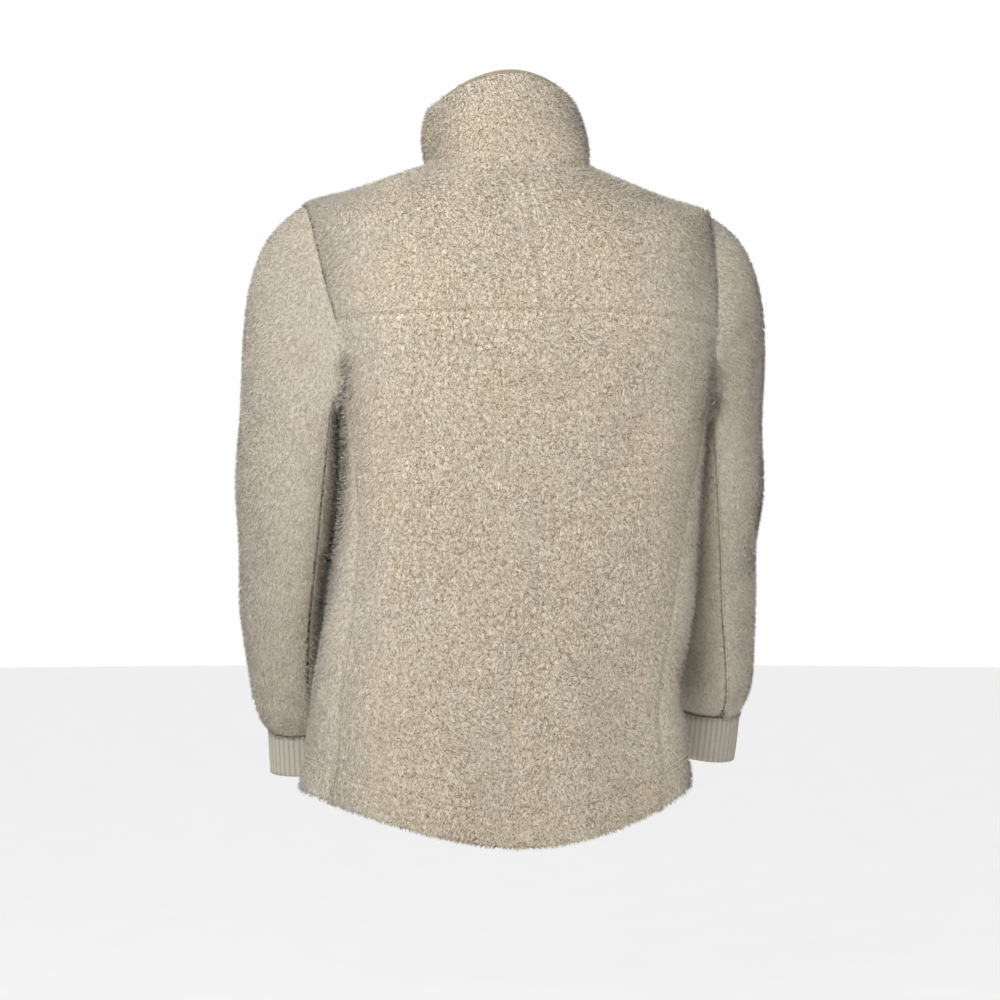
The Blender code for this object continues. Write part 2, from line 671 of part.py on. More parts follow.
# ---------------------------------------------------------------- sleeves
class Arm:
    """One arm's route and the sleeve's rings round it."""

    def __init__(self, name):
        self.side = 1 if name == "left" else -1
        self.route = ARM_ROUTES[name]
        self.seam_turn = SLEEVE_SEAM_TURN[name]

    def frame(self, station):
        """Middle, direction down the arm, outward axis and backward axis at a station."""
        middle = spline_row(self.route, station)
        low = max(station - STATION_STEP, 0.0)
        high = min(station + STATION_STEP, len(self.route) - 1)
        down = unit(spline_row(self.route, high) - spline_row(self.route, low))
        back = unit(np.cross(down, np.array([-self.side, 0.0, 0.0])) * self.side)
        if back[1] < 0.0:
            back = -back
        out = unit(np.array([self.side, 0.0, 0.0]) - self.side * down[0] * down)
        return middle, down, out, back

    def ring_point(self, station, step):
        """A point of a plain sleeve ring: steps run from the outer side to the back of the arm."""
        middle, _, out, back = self.frame(station)
        section = Section(*spline_row(SLEEVE_SECTIONS, station))
        back_seam = np.interp(station, [0, CUFF_STATION], self.seam_turn)
        front_seam = 360.0 * FRONT_SLEEVE_STEP / ARMHOLE_STEPS
        steps = [0, SIDE_SEAM_STEP, FRONT_SLEEVE_STEP, ARMHOLE_STEPS]
        turns = [0.0, back_seam, front_seam, 360.0]
        turn = math.radians(np.interp(step % ARMHOLE_STEPS, steps, turns))
        wide = section.half_width * math.cos(turn)
        deep = section.half_depth * math.sin(turn)
        tilt = math.radians(section.turn)
        x = wide * math.cos(tilt) - deep * math.sin(tilt)
        y = wide * math.sin(tilt) + deep * math.cos(tilt)
        return middle + x * out + y * back

    def start(self, step):
        """The armhole point, the direction in which the sleeve leaves it, and the one outwards."""
        angle, level = armhole_place(step)
        angle *= self.side
        normal = torso_normal(angle, level)
        point = torso_point(angle, level)
        point = point + crease_rise(point) * normal
        ahead, behind = armhole_place(step + ARMHOLE_STEP), armhole_place(step - ARMHOLE_STEP)
        seam = torso_point(self.side * ahead[0], ahead[1])
        seam = seam - torso_point(self.side * behind[0], behind[1])
        centre = torso_point(self.side * ARMHOLE_ANGLE, ARMHOLE_LEVEL)
        across = unit(np.cross(seam, normal))
        if np.dot(across, centre - point) < 0.0:
            across = -across
        fold = math.radians(self.head(step).fold)
        leave = across * math.cos(fold) + normal * math.sin(fold)
        leave = unit(leave * np.array([1.0, HEAD_CROSSING, 1.0]))
        turned = fold * smooth_step((math.degrees(fold) - EDGE_TURN_START) / EDGE_TURN_RANGE)
        outward = normal * math.cos(turned) - across * math.sin(turned)
        point = point + normal * SEAM_GAP * (1.0 - math.cos(fold))
        return point, leave, outward

    def head(self, step):
        """How the sleeve leaves the armhole at a step."""
        around = abs((360.0 * step / ARMHOLE_STEPS + 180.0) % 360.0 - 180.0)
        spacing = SLEEVE_HEAD[1].around - SLEEVE_HEAD[0].around
        return Head(*spline_row(SLEEVE_HEAD, around / spacing))

    def pinch(self, row, step):
        """How much thinner the cloth is where the armpit presses it."""
        folded = smooth_step(self.head(step).fold / PINCH_FOLD)
        return ARMPIT_PINCH * folded * (1.0 - smooth_step(row / PINCH_ROWS))

    def point(self, row, step):
        """The sleeve's outer side: rows up to CAP_ROWS leave the armhole, the rest follow the arm."""
        if row > CAP_ROWS:
            station = CUFF_STATION * (row - CAP_ROWS) / SLEEVE_ROWS
            found = self.ring_point(station, step)
            share = 1.0
        else:
            share = row / CAP_ROWS
            found = self.cap_point(share, step)
        found = self.clear_of_body(found, smooth_step(share / CLEARING_SHARE))
        return found

    def cap_point(self, share, step):
        begin, leave, _ = self.start(step)
        end = self.ring_point(0.0, step)
        down = self.frame(0.0)[1]
        head = self.head(step)
        return hermite(share, begin, head.leave_length * leave, end, head.end_length * down)

    def clear_of_body(self, point, share):
        """Pushes a point off the body, as the arm presses the sleeve flat against it."""
        reach = torso_reach(point[1], point[2], self.side)
        if reach is None:
            return point
        needed = reach + SLEEVE_CLEARANCE * share
        distance = self.side * point[0] - needed
        if distance < PRESS_BLEND:
            pushed = PRESS_BLEND * math.exp((distance - PRESS_BLEND) / PRESS_BLEND)
            point = np.array([self.side * (needed + pushed * share), point[1], point[2]])
        return point

    def outward(self, row, step):
        low, high = max(row - ROW_STEP, 0.0), min(row + ROW_STEP, CAP_ROWS + SLEEVE_ROWS)
        around = self.point(row, step + ANGLE_STEP) - self.point(row, step - ANGLE_STEP)
        down = self.point(high, step) - self.point(low, step)
        return unit(np.cross(around, down)) * -self.side


def make_sleeve_half(name, side_name, first, last):
    """Part of a sleeve between two of its lengthwise seams."""
    arm = Arm(side_name)
    cloth = Cloth()
    rows = []
    total = CAP_ROWS + SLEEVE_ROWS
    middle, _, _, _ = arm.frame(CUFF_STATION)
    for row in range(total + 1):
        line = []
        for step in range(first, last + 1):
            point = arm.point(row, step)
            outward = arm.outward(row, step)
            if row == 0:
                point, _, outward = arm.start(step)
            elif row == total:
                outward = point - middle
            if row > 0:
                point = point + crease_rise(point) * outward
            seam = row in (0, total) or step in (first, last)
            dip = SLEEVE_SEAM_DIP if seam else 0.0
            wall = SLEEVE_WALL * (1.0 - arm.pinch(row, step))
            line.append(cloth.add((row, step), point, outward, wall, dip))
        rows.append(line)
    cloth.add_grid(rows)
    cloth.build(name, "pile")


def make_cuff(name, side_name):
    """A ribbed tube: the ribs stand up from its outer points, over a plain inside."""
    arm = Arm(side_name)
    last = len(SLEEVE_SECTIONS) - 1
    outer, inner = [], []
    for row in range(CUFF_ROWS + 1):
        station = CUFF_STATION + (last - CUFF_STATION) * row / CUFF_ROWS
        middle, down, out, back = arm.frame(station)
        if row == 0:
            middle = middle + down * SEAM_GAP
        section = Section(*spline_row(SLEEVE_SECTIONS, station))
        pinch = CUFF_GATHER if row == 0 else 0.0
        for k in range(2 * CUFF_RIBS):
            turn = math.pi * k / CUFF_RIBS
            rib = RIB_HEIGHT if k % 2 else 0.0
            around = out * math.cos(turn), back * math.sin(turn)
            wide, deep = section.half_width - pinch, section.half_depth - pinch
            outer.append(middle + around[0] * (wide + rib) + around[1] * (deep + rib))
            if k % 2:
                wall = RIB_WALL
                inner.append(middle + around[0] * (wide - wall) + around[1] * (deep - wall))
    faces = cuff_faces()
    obj = make_object(name, outer + inner, faces, "rib")
    if arm.side < 0:
        obj.data.flip_normals()


def cuff_faces():
    """Faces of a ribbed tube with two outer points a rib and one inner point."""
    around, fewer = 2 * CUFF_RIBS, CUFF_RIBS
    base = around * (CUFF_ROWS + 1)
    faces = []
    for row in range(CUFF_ROWS):
        for k in range(around):
            a, b = row * around + k, row * around + (k + 1) % around
            faces.append((a, a + around, b + around, b))
        for k in range(fewer):
            a, b = base + row * fewer + k, base + row * fewer + (k + 1) % fewer
            faces.append((a, b, b + fewer, a + fewer))
    for row in (0, CUFF_ROWS):
        for k in range(fewer):
            crest, foot = 2 * k + 1, (2 * k + 2) % around
            next_crest = (2 * k + 3) % around
            rim = [row * around + place for place in (crest, foot, next_crest)]
            rim += [base + row * fewer + place for place in ((k + 1) % fewer, k)]
            faces.append(tuple(rim) if row == 0 else tuple(rim[::-1]))
    return faces


# ---------------------------------------------------------------- collar
def collar_angles(share):
    """Angles round the collar from one side of the zip to the other. At its foot they are those of the
    pieces below it, and further up its edges keep their distance from the zip."""
    half_width = TORSO_RINGS[-1].half_width * (1.0 - share) + COLLAR_TOP.half_width * share
    edge = 180.0 - math.degrees(math.asin((ZIP_EDGE + COLLAR_EDGE_EASE) / half_width))
    half_back = {}
    for side in (1, -1):
        start = side * YOKE_CENTRE_LEAN[1]
        half_back[side] = np.linspace(start, NECK_SHOULDER_ANGLE, TORSO_COLUMNS + 1)
    front = np.linspace(NECK_SHOULDER_ANGLE, edge, FRONT_COLUMNS + 1)
    left = list(half_back[1]) + list(front[1:])
    right = list(half_back[-1][1:]) + list(front[1:])
    return [-angle for angle in right[::-1]] + left


def collar_point(angle, share):
    """The collar's outer side: from the neck seam to its top edge, which leans forward."""
    foot = torso_point(angle, NECK_LEVEL)
    top = ring_point(COLLAR_TOP, angle)
    centre = 0.5 * (torso_point(0.0, NECK_LEVEL) + torso_point(180.0, NECK_LEVEL))
    radial = foot - centre
    radial[2] = 0.0
    belly = COLLAR_BELLY * math.sin(math.pi * share)
    return foot + (top - foot) * share + unit(radial) * belly


def collar_outward(angle, share):
    low, high = max(share - LEVEL_STEP, 0.0), min(share + LEVEL_STEP, 1.0)
    across = collar_point(angle + ANGLE_STEP, share) - collar_point(angle - ANGLE_STEP, share)
    return unit(np.cross(collar_point(angle, high) - collar_point(angle, low), across))


def make_collar(name, depth, wall, rise, rounded, finish):
    """A standing ring, open at the zip. depth moves it inwards and rise lengthens it upwards."""
    cloth = Cloth()
    rows = []
    for i in range(COLLAR_ROWS + 1):
        share = i / COLLAR_ROWS
        angles = collar_angles(share)
        line = []
        for j, angle in enumerate(angles):
            outward = collar_outward(angle, share)
            point = collar_point(angle, share)
            point = point + (crease_rise(point) - depth) * outward
            if i == COLLAR_ROWS:
                up = unit(collar_point(angle, 1.0) - collar_point(angle, COLLAR_TIP))
                point = point + up * rise
            if i == 0:
                point = point + np.array([0.0, 0.0, SEAM_GAP])
            seam = j in (0, len(angles) - 1) or i == 0
            dip = SEAM_DIP if seam and rounded else 0.0
            if rounded and i == COLLAR_ROWS:
                dip = COLLAR_EDGE_DIP
            line.append(cloth.add((i, j), point, outward, wall, dip))
        rows.append(line)
    cloth.add_grid(rows)
    cloth.build(name, finish)


# ---------------------------------------------------------------- zip
def zip_line():
    """Points up the centre front with their outward directions: the body, then the collar."""
    stations = []
    for level in np.linspace(ZIP_BOTTOM_LEVEL, NECK_LEVEL, ZIP_ROWS + 1)[:-1]:
        point = torso_point(180.0, level)
        stations.append((point, torso_normal(180.0, level)))
    for share in np.linspace(*COLLAR_ZIP_SHARES, COLLAR_ZIP_ROWS + 1):
        stations.append((collar_point(180.0, share), collar_outward(180.0, share)))
    return stations


def make_strip(name, stations, near, far, top_depth, bottom_depth, finish):
    """A flat strip up the zip between two distances from the middle and two depths in the pile."""
    points, faces = [], []
    for point, outward in stations:
        for x, depth in (
            (near, top_depth),
            (far, top_depth),
            (far, bottom_depth),
            (near, bottom_depth),
        ):
            points.append(point + np.array([x, 0.0, 0.0]) - depth * outward)
    for k in range(len(stations) - 1):
        for corner in range(4):
            following = (corner + 1) % 4
            low, high = 4 * k, 4 * (k + 1)
            faces.append((low + corner, low + following, high + following, high + corner))
    end = 4 * (len(stations) - 1)
    faces.append((3, 2, 1, 0))
    faces.append((end, end + 1, end + 2, end + 3))
    if far < near:
        faces = [face[::-1] for face in faces]
    make_object(name, points, faces, finish)


def zip_frame(point, outward):
    """Axes of a hard zip piece at a place on the zip: across, out of the cloth, and up along it."""
    across = np.array([-1.0, 0.0, 0.0])
    out = unit(np.array([0.0, outward[1], outward[2]]))
    return across, out, np.cross(across, out)


def make_block(name, middle, axes, size, bevel, finish):
    """A box with rounded edges, on the zip's own axes."""
    bpy.ops.mesh.primitive_cube_add(size=1.0)
    obj = bpy.context.object
    obj.name = name
    obj.data.name = name
    for collection in list(obj.users_collection):
        collection.objects.unlink(obj)
    bpy.data.collections["fleece_jacket"].objects.link(obj)
    for vertex in obj.data.vertices:
        local = [vertex.co[k] * size[k] for k in range(3)]
        vertex.co = sum(local[k] * axes[k] for k in range(3))
    obj.location = tuple(middle)
    rounding = obj.modifiers.new("rounding", "BEVEL")
    rounding.width = bevel
    rounding.segments = 1
    obj.data.materials.append(make_material(name, FINISHES[finish]))
    return obj


def slider_place():
    return collar_point(180.0, SLIDER_SHARE), collar_outward(180.0, SLIDER_SHARE)


def chain_top_depth():
    return TAPE_DEPTH - SEAM_GAP - CHAIN_HEIGHT


def make_zip():
    stations = zip_line()
    inner_edge, outer_edge = SEAM_GAP / 2.0, ZIP_EDGE - SEAM_GAP
    bottom = TAPE_DEPTH + TAPE_THICK
    make_strip("zip_tape_left", stations, inner_edge, outer_edge, TAPE_DEPTH, bottom, "tape")
    make_strip("zip_tape_right", stations, -inner_edge, -outer_edge, TAPE_DEPTH, bottom, "tape")
    place, outward = slider_place()
    below_slider = [
        station for station in stations if station[0][2] < place[2] - CHAIN_END * SLIDER_SIZE[2]
    ]
    box_top = stations[0][0][2] + BOX_SIZE[2]
    chain = [station for station in below_slider if station[0][2] > box_top]
    top_depth = chain_top_depth()
    make_strip(
        "zip_chain",
        chain,
        -CHAIN_HALF_WIDTH,
        CHAIN_HALF_WIDTH,
        top_depth,
        top_depth + CHAIN_HEIGHT,
        "metal",
    )
    box_point, box_out = stations[0]
    lift = -(TAPE_DEPTH - SEAM_GAP) + BOX_SIZE[1] / 2.0
    axes = zip_frame(box_point, box_out)
    middle = box_point + lift * axes[1] + BOX_RISE * BOX_SIZE[2] * axes[2]
    make_block("zip_box", middle, axes, BOX_SIZE, BOX_ROUNDING, "metal")
    make_slider(place, outward)


def make_slider(place, outward):
    """The slider at the top of the chain, its bridge, and the pull tab that swings on the bridge."""
    axes = zip_frame(place, outward)
    lift = -(TAPE_DEPTH - SEAM_GAP) + SLIDER_SIZE[1] / 2.0
    middle = place + lift * axes[1]
    make_block("zip_slider", middle, axes, SLIDER_SIZE, SLIDER_ROUNDING, "metal")
    face = middle + (SLIDER_SIZE[1] / 2.0) * axes[1]
    make_bridge(face, axes)
    hinge = hinge_point(face, axes)
    make_pull(hinge)


def hinge_point(face, axes):
    """Where the pull tab turns: its top bar lies in the tunnel under the bow."""
    return face + PULL_STAND * axes[1] + PULL_RISE * axes[2]


def make_bridge(face, axes):
    """A bow of wire from the slider's head to its foot, standing out of its face."""
    curve = bpy.data.curves.new("zip_bridge", "CURVE")
    curve.dimensions = "3D"
    curve.bevel_depth = BRIDGE_BAR
    curve.bevel_resolution = 2
    curve.use_fill_caps = True
    spline = curve.splines.new("POLY")
    spline.points.add(BRIDGE_POINTS - 1)
    for k in range(BRIDGE_POINTS):
        turn = math.pi * k / (BRIDGE_POINTS - 1)
        along_zip = -math.cos(turn) * BRIDGE_HALF_LENGTH
        arch = math.sin(turn) ** BRIDGE_SQUARE
        stand = SLIDER_LIFT + (BRIDGE_REACH - SLIDER_LIFT) * arch
        spline.points[k].co = (*(face + along_zip * axes[2] + stand * axes[1]), 1.0)
    obj = bpy.data.objects.new("zip_bridge", curve)
    bpy.data.collections["fleece_jacket"].objects.link(obj)
    obj.data.materials.append(make_material("zip_bridge", FINISHES["metal"]))


def make_pull(hinge):
    """A flat tab hanging from the bridge, with a window that the bow passes through."""
    half, thick = PULL_WIDTH / 2.0, PULL_THICK / 2.0
    top, foot, narrow = PULL_BAR_HALF, -PULL_LENGTH, half * PULL_FOOT_SHARE
    outline = [(-half, PULL_WAIST), (-half, top), (half, top), (half, PULL_WAIST)]
    outline += [(narrow, foot), (-narrow, foot)]
    side = PULL_WINDOW_HALF
    window = [(-side, PULL_WINDOW_FOOT), (-side, -top), (side, -top), (side, PULL_WINDOW_FOOT)]
    curve = bpy.data.curves.new("zip_pull", "CURVE")
    curve.dimensions = "2D"
    curve.fill_mode = "BOTH"
    curve.extrude = thick
    for shape in (outline, window):
        spline = curve.splines.new("POLY")
        spline.points.add(len(shape) - 1)
        for point, place in zip(spline.points, shape):
            point.co = (*place, 0.0, 1.0)
        spline.use_cyclic_u = True
    obj = bpy.data.objects.new("zip_pull", curve)
    obj.location = tuple(hinge)
    obj.rotation_euler = (math.radians(90.0), 0.0, 0.0)
    bpy.data.collections["fleece_jacket"].objects.link(obj)
    obj.data.materials.append(make_material("zip_pull", FINISHES["metal"]))


# ---------------------------------------------------------------- the jacket
def main():
    for obj in list(bpy.data.objects):
        bpy.data.objects.remove(obj)
    collection = bpy.data.collections.new("fleece_jacket")
    bpy.context.scene.collection.children.link(collection)

    make_back_panel()
    for side_name, side in (("left", 1), ("right", -1)):
        make_yoke(f"back_yoke_{side_name}", side)
        make_front(f"front_{side_name}", side)
        upper_first = FRONT_SLEEVE_STEP - ARMHOLE_STEPS
        make_sleeve_half(f"sleeve_upper_{side_name}", side_name, upper_first, SIDE_SEAM_STEP)
        make_sleeve_half(
            f"sleeve_under_{side_name}", side_name, SIDE_SEAM_STEP, FRONT_SLEEVE_STEP
        )
        make_cuff(f"cuff_{side_name}", side_name)
    make_collar("collar_outer", 0.0, COLLAR_WALL, 0.0, True, "pile")
    make_collar(
        "collar_facing", COLLAR_WALL + SEAM_GAP, FACING_WALL, FACING_RISE, False, "facing"
    )
    make_zip()


if __name__ == "__main__":
    main()
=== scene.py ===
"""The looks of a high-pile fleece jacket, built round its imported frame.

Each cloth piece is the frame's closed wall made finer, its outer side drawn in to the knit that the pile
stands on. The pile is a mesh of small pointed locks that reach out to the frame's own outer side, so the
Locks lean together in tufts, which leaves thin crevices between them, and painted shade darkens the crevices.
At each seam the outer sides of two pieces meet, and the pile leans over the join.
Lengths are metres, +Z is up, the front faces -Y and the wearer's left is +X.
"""

import math

import bmesh
import bpy
import numpy as np
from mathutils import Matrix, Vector
from mathutils.bvhtree import BVHTree
from mathutils.kdtree import KDTree


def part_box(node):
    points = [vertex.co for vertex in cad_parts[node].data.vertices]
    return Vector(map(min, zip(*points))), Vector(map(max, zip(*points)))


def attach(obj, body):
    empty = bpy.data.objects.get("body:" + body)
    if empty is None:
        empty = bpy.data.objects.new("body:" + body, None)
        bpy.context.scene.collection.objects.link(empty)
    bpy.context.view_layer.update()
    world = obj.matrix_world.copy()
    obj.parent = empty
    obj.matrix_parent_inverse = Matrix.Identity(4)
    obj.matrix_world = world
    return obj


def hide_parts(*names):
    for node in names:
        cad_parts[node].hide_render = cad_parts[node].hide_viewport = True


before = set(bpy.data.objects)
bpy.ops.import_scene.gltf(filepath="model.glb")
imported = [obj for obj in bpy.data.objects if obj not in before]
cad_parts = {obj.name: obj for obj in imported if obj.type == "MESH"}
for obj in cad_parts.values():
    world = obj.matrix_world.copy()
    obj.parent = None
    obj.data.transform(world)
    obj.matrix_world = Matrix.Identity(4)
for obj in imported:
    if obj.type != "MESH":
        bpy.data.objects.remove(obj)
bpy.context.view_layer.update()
BODY = "jacket"

# ---- sizes
PILE_DEPTH = 0.0038  # from the tips of the pile down to the knit
PILE_SHARE = 0.6  # the most of a wall's thickness that is pile
REFINE_LEVELS = 2
WELD = 1e-5
CREASED_ANGLE = math.radians(50.0)
RIM_THICKNESS = 0.014  # a wall looks this thick or more when seen along it from its cut edge
DOWNWARD = -0.6  # the hem's faces that look down more than this are part of the outer side
UPWARD = 0.5  # and so are the collar's that look up more than this, and inward less than the next
INWARD = -0.5
RAY_START = 1e-4  # inside the cloth, so that a ray doesn't meet the face that it starts from

# Lines inside the garment that outer faces look away from.
CORES = {
    "torso": [(-0.010, 0.000, -0.760), (-0.012, 0.000, -0.220)],
    "left": [(0.165, 0.015, -0.135), (0.222, -0.010, -0.300),
             (0.218, -0.060, -0.470), (0.193, -0.118, -0.680)],
    "right": [(-0.175, 0.010, -0.135), (-0.246, -0.035, -0.300),
              (-0.249, -0.068, -0.470), (-0.252, -0.104, -0.670)],
    "collar": [(-0.006, -0.002, -0.060), (0.010, -0.022, 0.060)],
}

# Each cloth piece: its core, the width, length and area of its cut, the pile's locks to a square metre,
# and what it hangs from.
PIECES = {
    "back_panel": ("torso", (0.46, 0.52), 0.195, 322e3, ["back_yoke_left", "back_yoke_right"]),
    "back_yoke_left": ("torso", (0.25, 0.22), 0.044, 320e3, ["collar_outer"]),
    "back_yoke_right": ("torso", (0.25, 0.22), 0.044, 320e3, ["collar_outer"]),
    "front_left": ("torso", (0.34, 0.63), 0.185, 145e3, ["back_yoke_left"]),
    "front_right": ("torso", (0.34, 0.63), 0.185, 145e3, ["back_yoke_right"]),
    "sleeve_upper_left": ("left", (0.28, 0.64), 0.125, 215e3, ["back_yoke_left"]),
    "sleeve_upper_right": ("right", (0.28, 0.64), 0.115, 215e3, ["back_yoke_right"]),
    "sleeve_under_left": ("left", (0.13, 0.50), 0.048, 200e3, ["sleeve_upper_left"]),
    "sleeve_under_right": ("right", (0.13, 0.50), 0.050, 200e3, ["sleeve_upper_right"]),
    "collar_outer": ("collar", (0.52, 0.11), 0.041, 330e3, ["back_yoke_left", "back_yoke_right"]),
}

# The pile. Widths, heights, leans and tones are the least and the most, as shares.
LOCK_RADIUS = 0.00062
LOCK_WIDTHS = (0.75, 1.25)
LOCK_HEIGHTS = (0.90, 1.10)
LOCK_LEAN = 0.0036  # how far a tip lies beside its root
LOCK_LEANS = (0.75, 1.25)
LOCK_TURN = 0.9  # how much locks that are side by side differ in direction
LOCK_TONES = (0.88, 1.0)
LOCK_ROUNDING = 0.75  # how round the light takes a lock to be
ROOT_SINK = 1.05  # of the pile's depth: roots stand just inside the knit
PILE_RISE = 0.0011  # how far the tips stand out of the frame's outer side
TUFT_SIZE = 0.0080
TUFT_WANDER = 0.0012
TUFT_PULL = 0.30  # how far tips draw towards the middle of their tuft
CREVICE_WIDTH = 0.24  # of a tuft
CREVICE_DROP = 0.40  # how much lower the pile is in a crevice
CREVICE_SHADE = 0.35
DRAWN_SIZE = 0.0046  # the width of the drawn-out tufts
DRAWN_STRETCH = 0.40  # their width over their length
DRAWN_LIFT = 0.3  # how much less tips draw along such a tuft than across it
DRAWN_WANDER = 0.016
CRACKLED_MIDDLE = (-0.010, 0.110, -0.330)  # on the middle of the back, where tufts are round
CRACKLED_SHAPE = (1.0, 1.0, 0.75)
CRACKLED_REACH = (0.110, 0.150)  # where they start to change and have changed
FLOW_DOWN = -0.75
FLOW_SWIRL = 0.9
CRISP_REACH = (0.105, 0.195)  # from the middle: the pile is crisp up to here, and soft from there on
ROOT_SHADE_TINTS = (0.55, 0.76)  # painted shade: how light the pile is at its roots against its tips, crisp and soft

# Where pieces meet, and along the stitches
SEAM_REACH = 0.0050  # the strip beside a seam where the pile leans over it
SEAM_PULL = 0.0042
SEAM_STILL = 0.8  # how much less locks lean down the cloth there
SEAM_SHADE = 0.06
SEAM_SCATTER = 0.0007  # extra locks stand along each seam, this near to its line
SEAM_DEPTH = 0.0030
SEAM_GAP_LIMIT = 0.006  # edges this near to another piece's are seams
SEAM_CLOSE = 0.0065  # edges this near to another piece's meet at their outer side
SEAM_GAP = 0.0002
CUFF_REACH = 0.0075  # a sleeve's edge this near to a cuff hangs over it
CUFF_OVERLAP = 0.0034
TOUCH_TOP = -0.215  # below the armpit
TOUCH_REACH = 0.016  # where a sleeve and the body are this near, their pile grows until it touches
TOUCH_GROWTH = 2.3
TOUCH_STILL = 0.5
GROOVE_DROP = 0.55  # how much lower the pile is at a row of stitches
GROOVE_STILL = 0.6
GROOVE_SHADE = 0.50

# The hem
HEM_EDGE_LEVEL = -0.60
HEM_HEIGHT = 0.06
STITCH_ROWS = (0.0305, 0.0365)  # from the hem's edge
STITCH_GROOVE = 0.0024
STITCH_LENGTH = 0.0021
STITCH_PITCH = 0.0031
STITCH_RADIUS = 0.00042
STITCH_STRAIGHT = (0.22, 0.78)  # where a stitch's straight stretch starts and ends
STITCH_SINK = 0.0016  # below the frame's outer side

# The cuffs
CUFF_LEVELS = 2
LONG_EDGE = 0.6  # of the longest: these edges run along the cuff
RIB_VALLEY = 0.0003  # a corner this much further in than its neighbours is in a valley
CUFF_WALL = 0.0020  # corners that differ more than this aren't on the same side of the wall
RIM_SLOPE = 0.75  # faces that look along the cuff more than this are its rims
LEVEL_SLOPE = 0.5  # edges that climb less than this go round the cuff

# The collar's facing and the zip's tapes
PLAIN_CREASE = 0.85  # how sharp their edges stay

# The zip, in metres across it, out of the cloth and up along it. Outlines are halves, from the top down.
TOOTH_PITCH = 0.0013  # between teeth of the two sides in turn
TOOTH_HALF_HEIGHT = 0.00052
TOOTH_INNER = -0.0007  # past the middle, between the other side's teeth
TOOTH_OUTER = 0.0030
TOOTH_TAPER = 0.8  # of its height, past the middle
TOOTH_RINGS = [(-0.5, 1.0, TOOTH_OUTER), (0.22, 1.0, TOOTH_OUTER), (0.5, 0.62, TOOTH_OUTER - 0.0004)]
SLIDER_SHIELD = [(0.30, 0.50), (0.50, 0.20), (0.50, -0.22), (0.30, -0.50)]
SLIDER_SIZE = (0.0112, 0.0127)
SLIDER_PLATES = [(-0.0022, -0.0010), (0.0011, 0.0022)]
SLIDER_POST = (0.0030, 0.0040)
SLIDER_POST_TOP = 0.48
SLIDER_WALL = 0.0011
SLIDER_WALL_PLACE = 0.49
SLIDER_WALL_ENDS = (-0.22, 0.18)
SLIDER_BITE = 0.0001  # how far walls and post reach into the plates
SLIDER_ROUNDING = 0.0003
PULL_HINGE = (-0.00356, -0.09856, 0.00594)
PULL_OUTLINE = [(0.0033, 0.0006), (0.0042, -0.0002), (0.0042, -0.0085), (0.0030, -0.0292), (0.0023, -0.0299)]
PULL_WINDOW = [(0.0017, -0.0007), (0.0021, -0.0010), (0.0021, -0.0066), (0.0015, -0.0070)]
PULL_HALF_THICK = 0.00078
PULL_ROUNDING = 0.00016
GRIP_OUTLINE = [(0.0026, -0.0110), (0.0019, -0.0275)]
GRIP_DEPTH = 0.00018
GRIP_ROUNDING = 0.00005
GRIP_ROUNDING_STEPS = 4
BOX_HALF = (0.0051, 0.0022, 0.0044)
BOX_CUT = 0.0012
BOX_SLOT = 0.0009
BOX_SLOT_DEPTH = 0.001
BOX_RIDGE = 0.0005
BOX_RIDGE_FOOT = 0.0007
BOX_ROUNDING = 0.00025
SHARP_ANGLE = math.radians(35.0)  # metal edges over this stay sharp

# Triangles and scattered values
SIDES = ((0, 1), (1, 2), (2, 0))  # the corners at the ends of a triangle's sides
NOISE_TABLE = np.random.default_rng(7).random((4096, 3))
HASH_PRIMES = (73856093, 19349663, 83492791)
SALT_PRIME = 2654435761


# ---- small helpers
def units(vectors):
    return vectors / np.maximum(np.linalg.norm(vectors, axis=-1, keepdims=True), 1e-12)


def between(ends, share):
    """A value from the first to the second of two ends."""
    return ends[0] + (ends[1] - ends[0]) * share


def smooth_step(values):
    values = np.clip(values, 0.0, 1.0)
    return values * values * (3.0 - 2.0 * values)


def passed(values, reach):
    """0 where a reach starts, rising to 1 where it ends."""
    return smooth_step((values - reach[0]) / (reach[1] - reach[0]))


def near(distances, reach):
    """1 at no distance, falling to 0 at the reach."""
    return 1.0 - smooth_step(distances / reach)


def core_points(points, core):
    """The nearest point of a core line to each point."""
    best = np.zeros_like(points)
    nearest_yet = np.full(len(points), np.inf)
    line = np.array(CORES[core])
    for start, end in zip(line, line[1:]):
        along = end - start
        share = np.clip((points - start) @ along / (along @ along), 0.0, 1.0)
        found = start + share[:, None] * along
        distance = np.linalg.norm(points - found, axis=1)
        closer = distance < nearest_yet
        best[closer], nearest_yet[closer] = found[closer], distance[closer]
    return best


def hashed(places, salt):
    x, y, z = (places[..., k].astype(np.int64) * prime for k, prime in enumerate(HASH_PRIMES))
    return NOISE_TABLE[(x ^ y ^ z ^ salt * SALT_PRIME) % len(NOISE_TABLE)]


def soft_noise(points, size, salt):
    """Three smooth random values, -1 to 1, for each point."""
    scaled = points / size
    base = np.floor(scaled)
    share = smooth_step(scaled - base)
    total = np.zeros_like(points)
    for corner in np.ndindex(2, 2, 2):
        weight = np.prod(np.where(np.array(corner) == 1, share, 1.0 - share), axis=1)
        total += weight[:, None] * hashed(base + corner, salt)
    return 2.0 * total - 1.0


def cells(points, size, salt):
    """Nearest and second nearest distances to scattered cell centres, in cells, and the nearest centre."""
    scaled = points / size
    base = np.floor(scaled)
    first = np.full(len(points), 9.0)
    second = np.full(len(points), 9.0)
    centre = np.zeros_like(points)
    for offset in np.ndindex(3, 3, 3):
        place = base + np.array(offset) - 1.0
        spot = place + hashed(place, salt)
        distance = np.linalg.norm(scaled - spot, axis=1)
        closer = distance < first
        second = np.where(closer, first, np.minimum(second, distance))
        centre[closer] = spot[closer]
        first = np.where(closer, distance, first)
    return first, second, centre * size


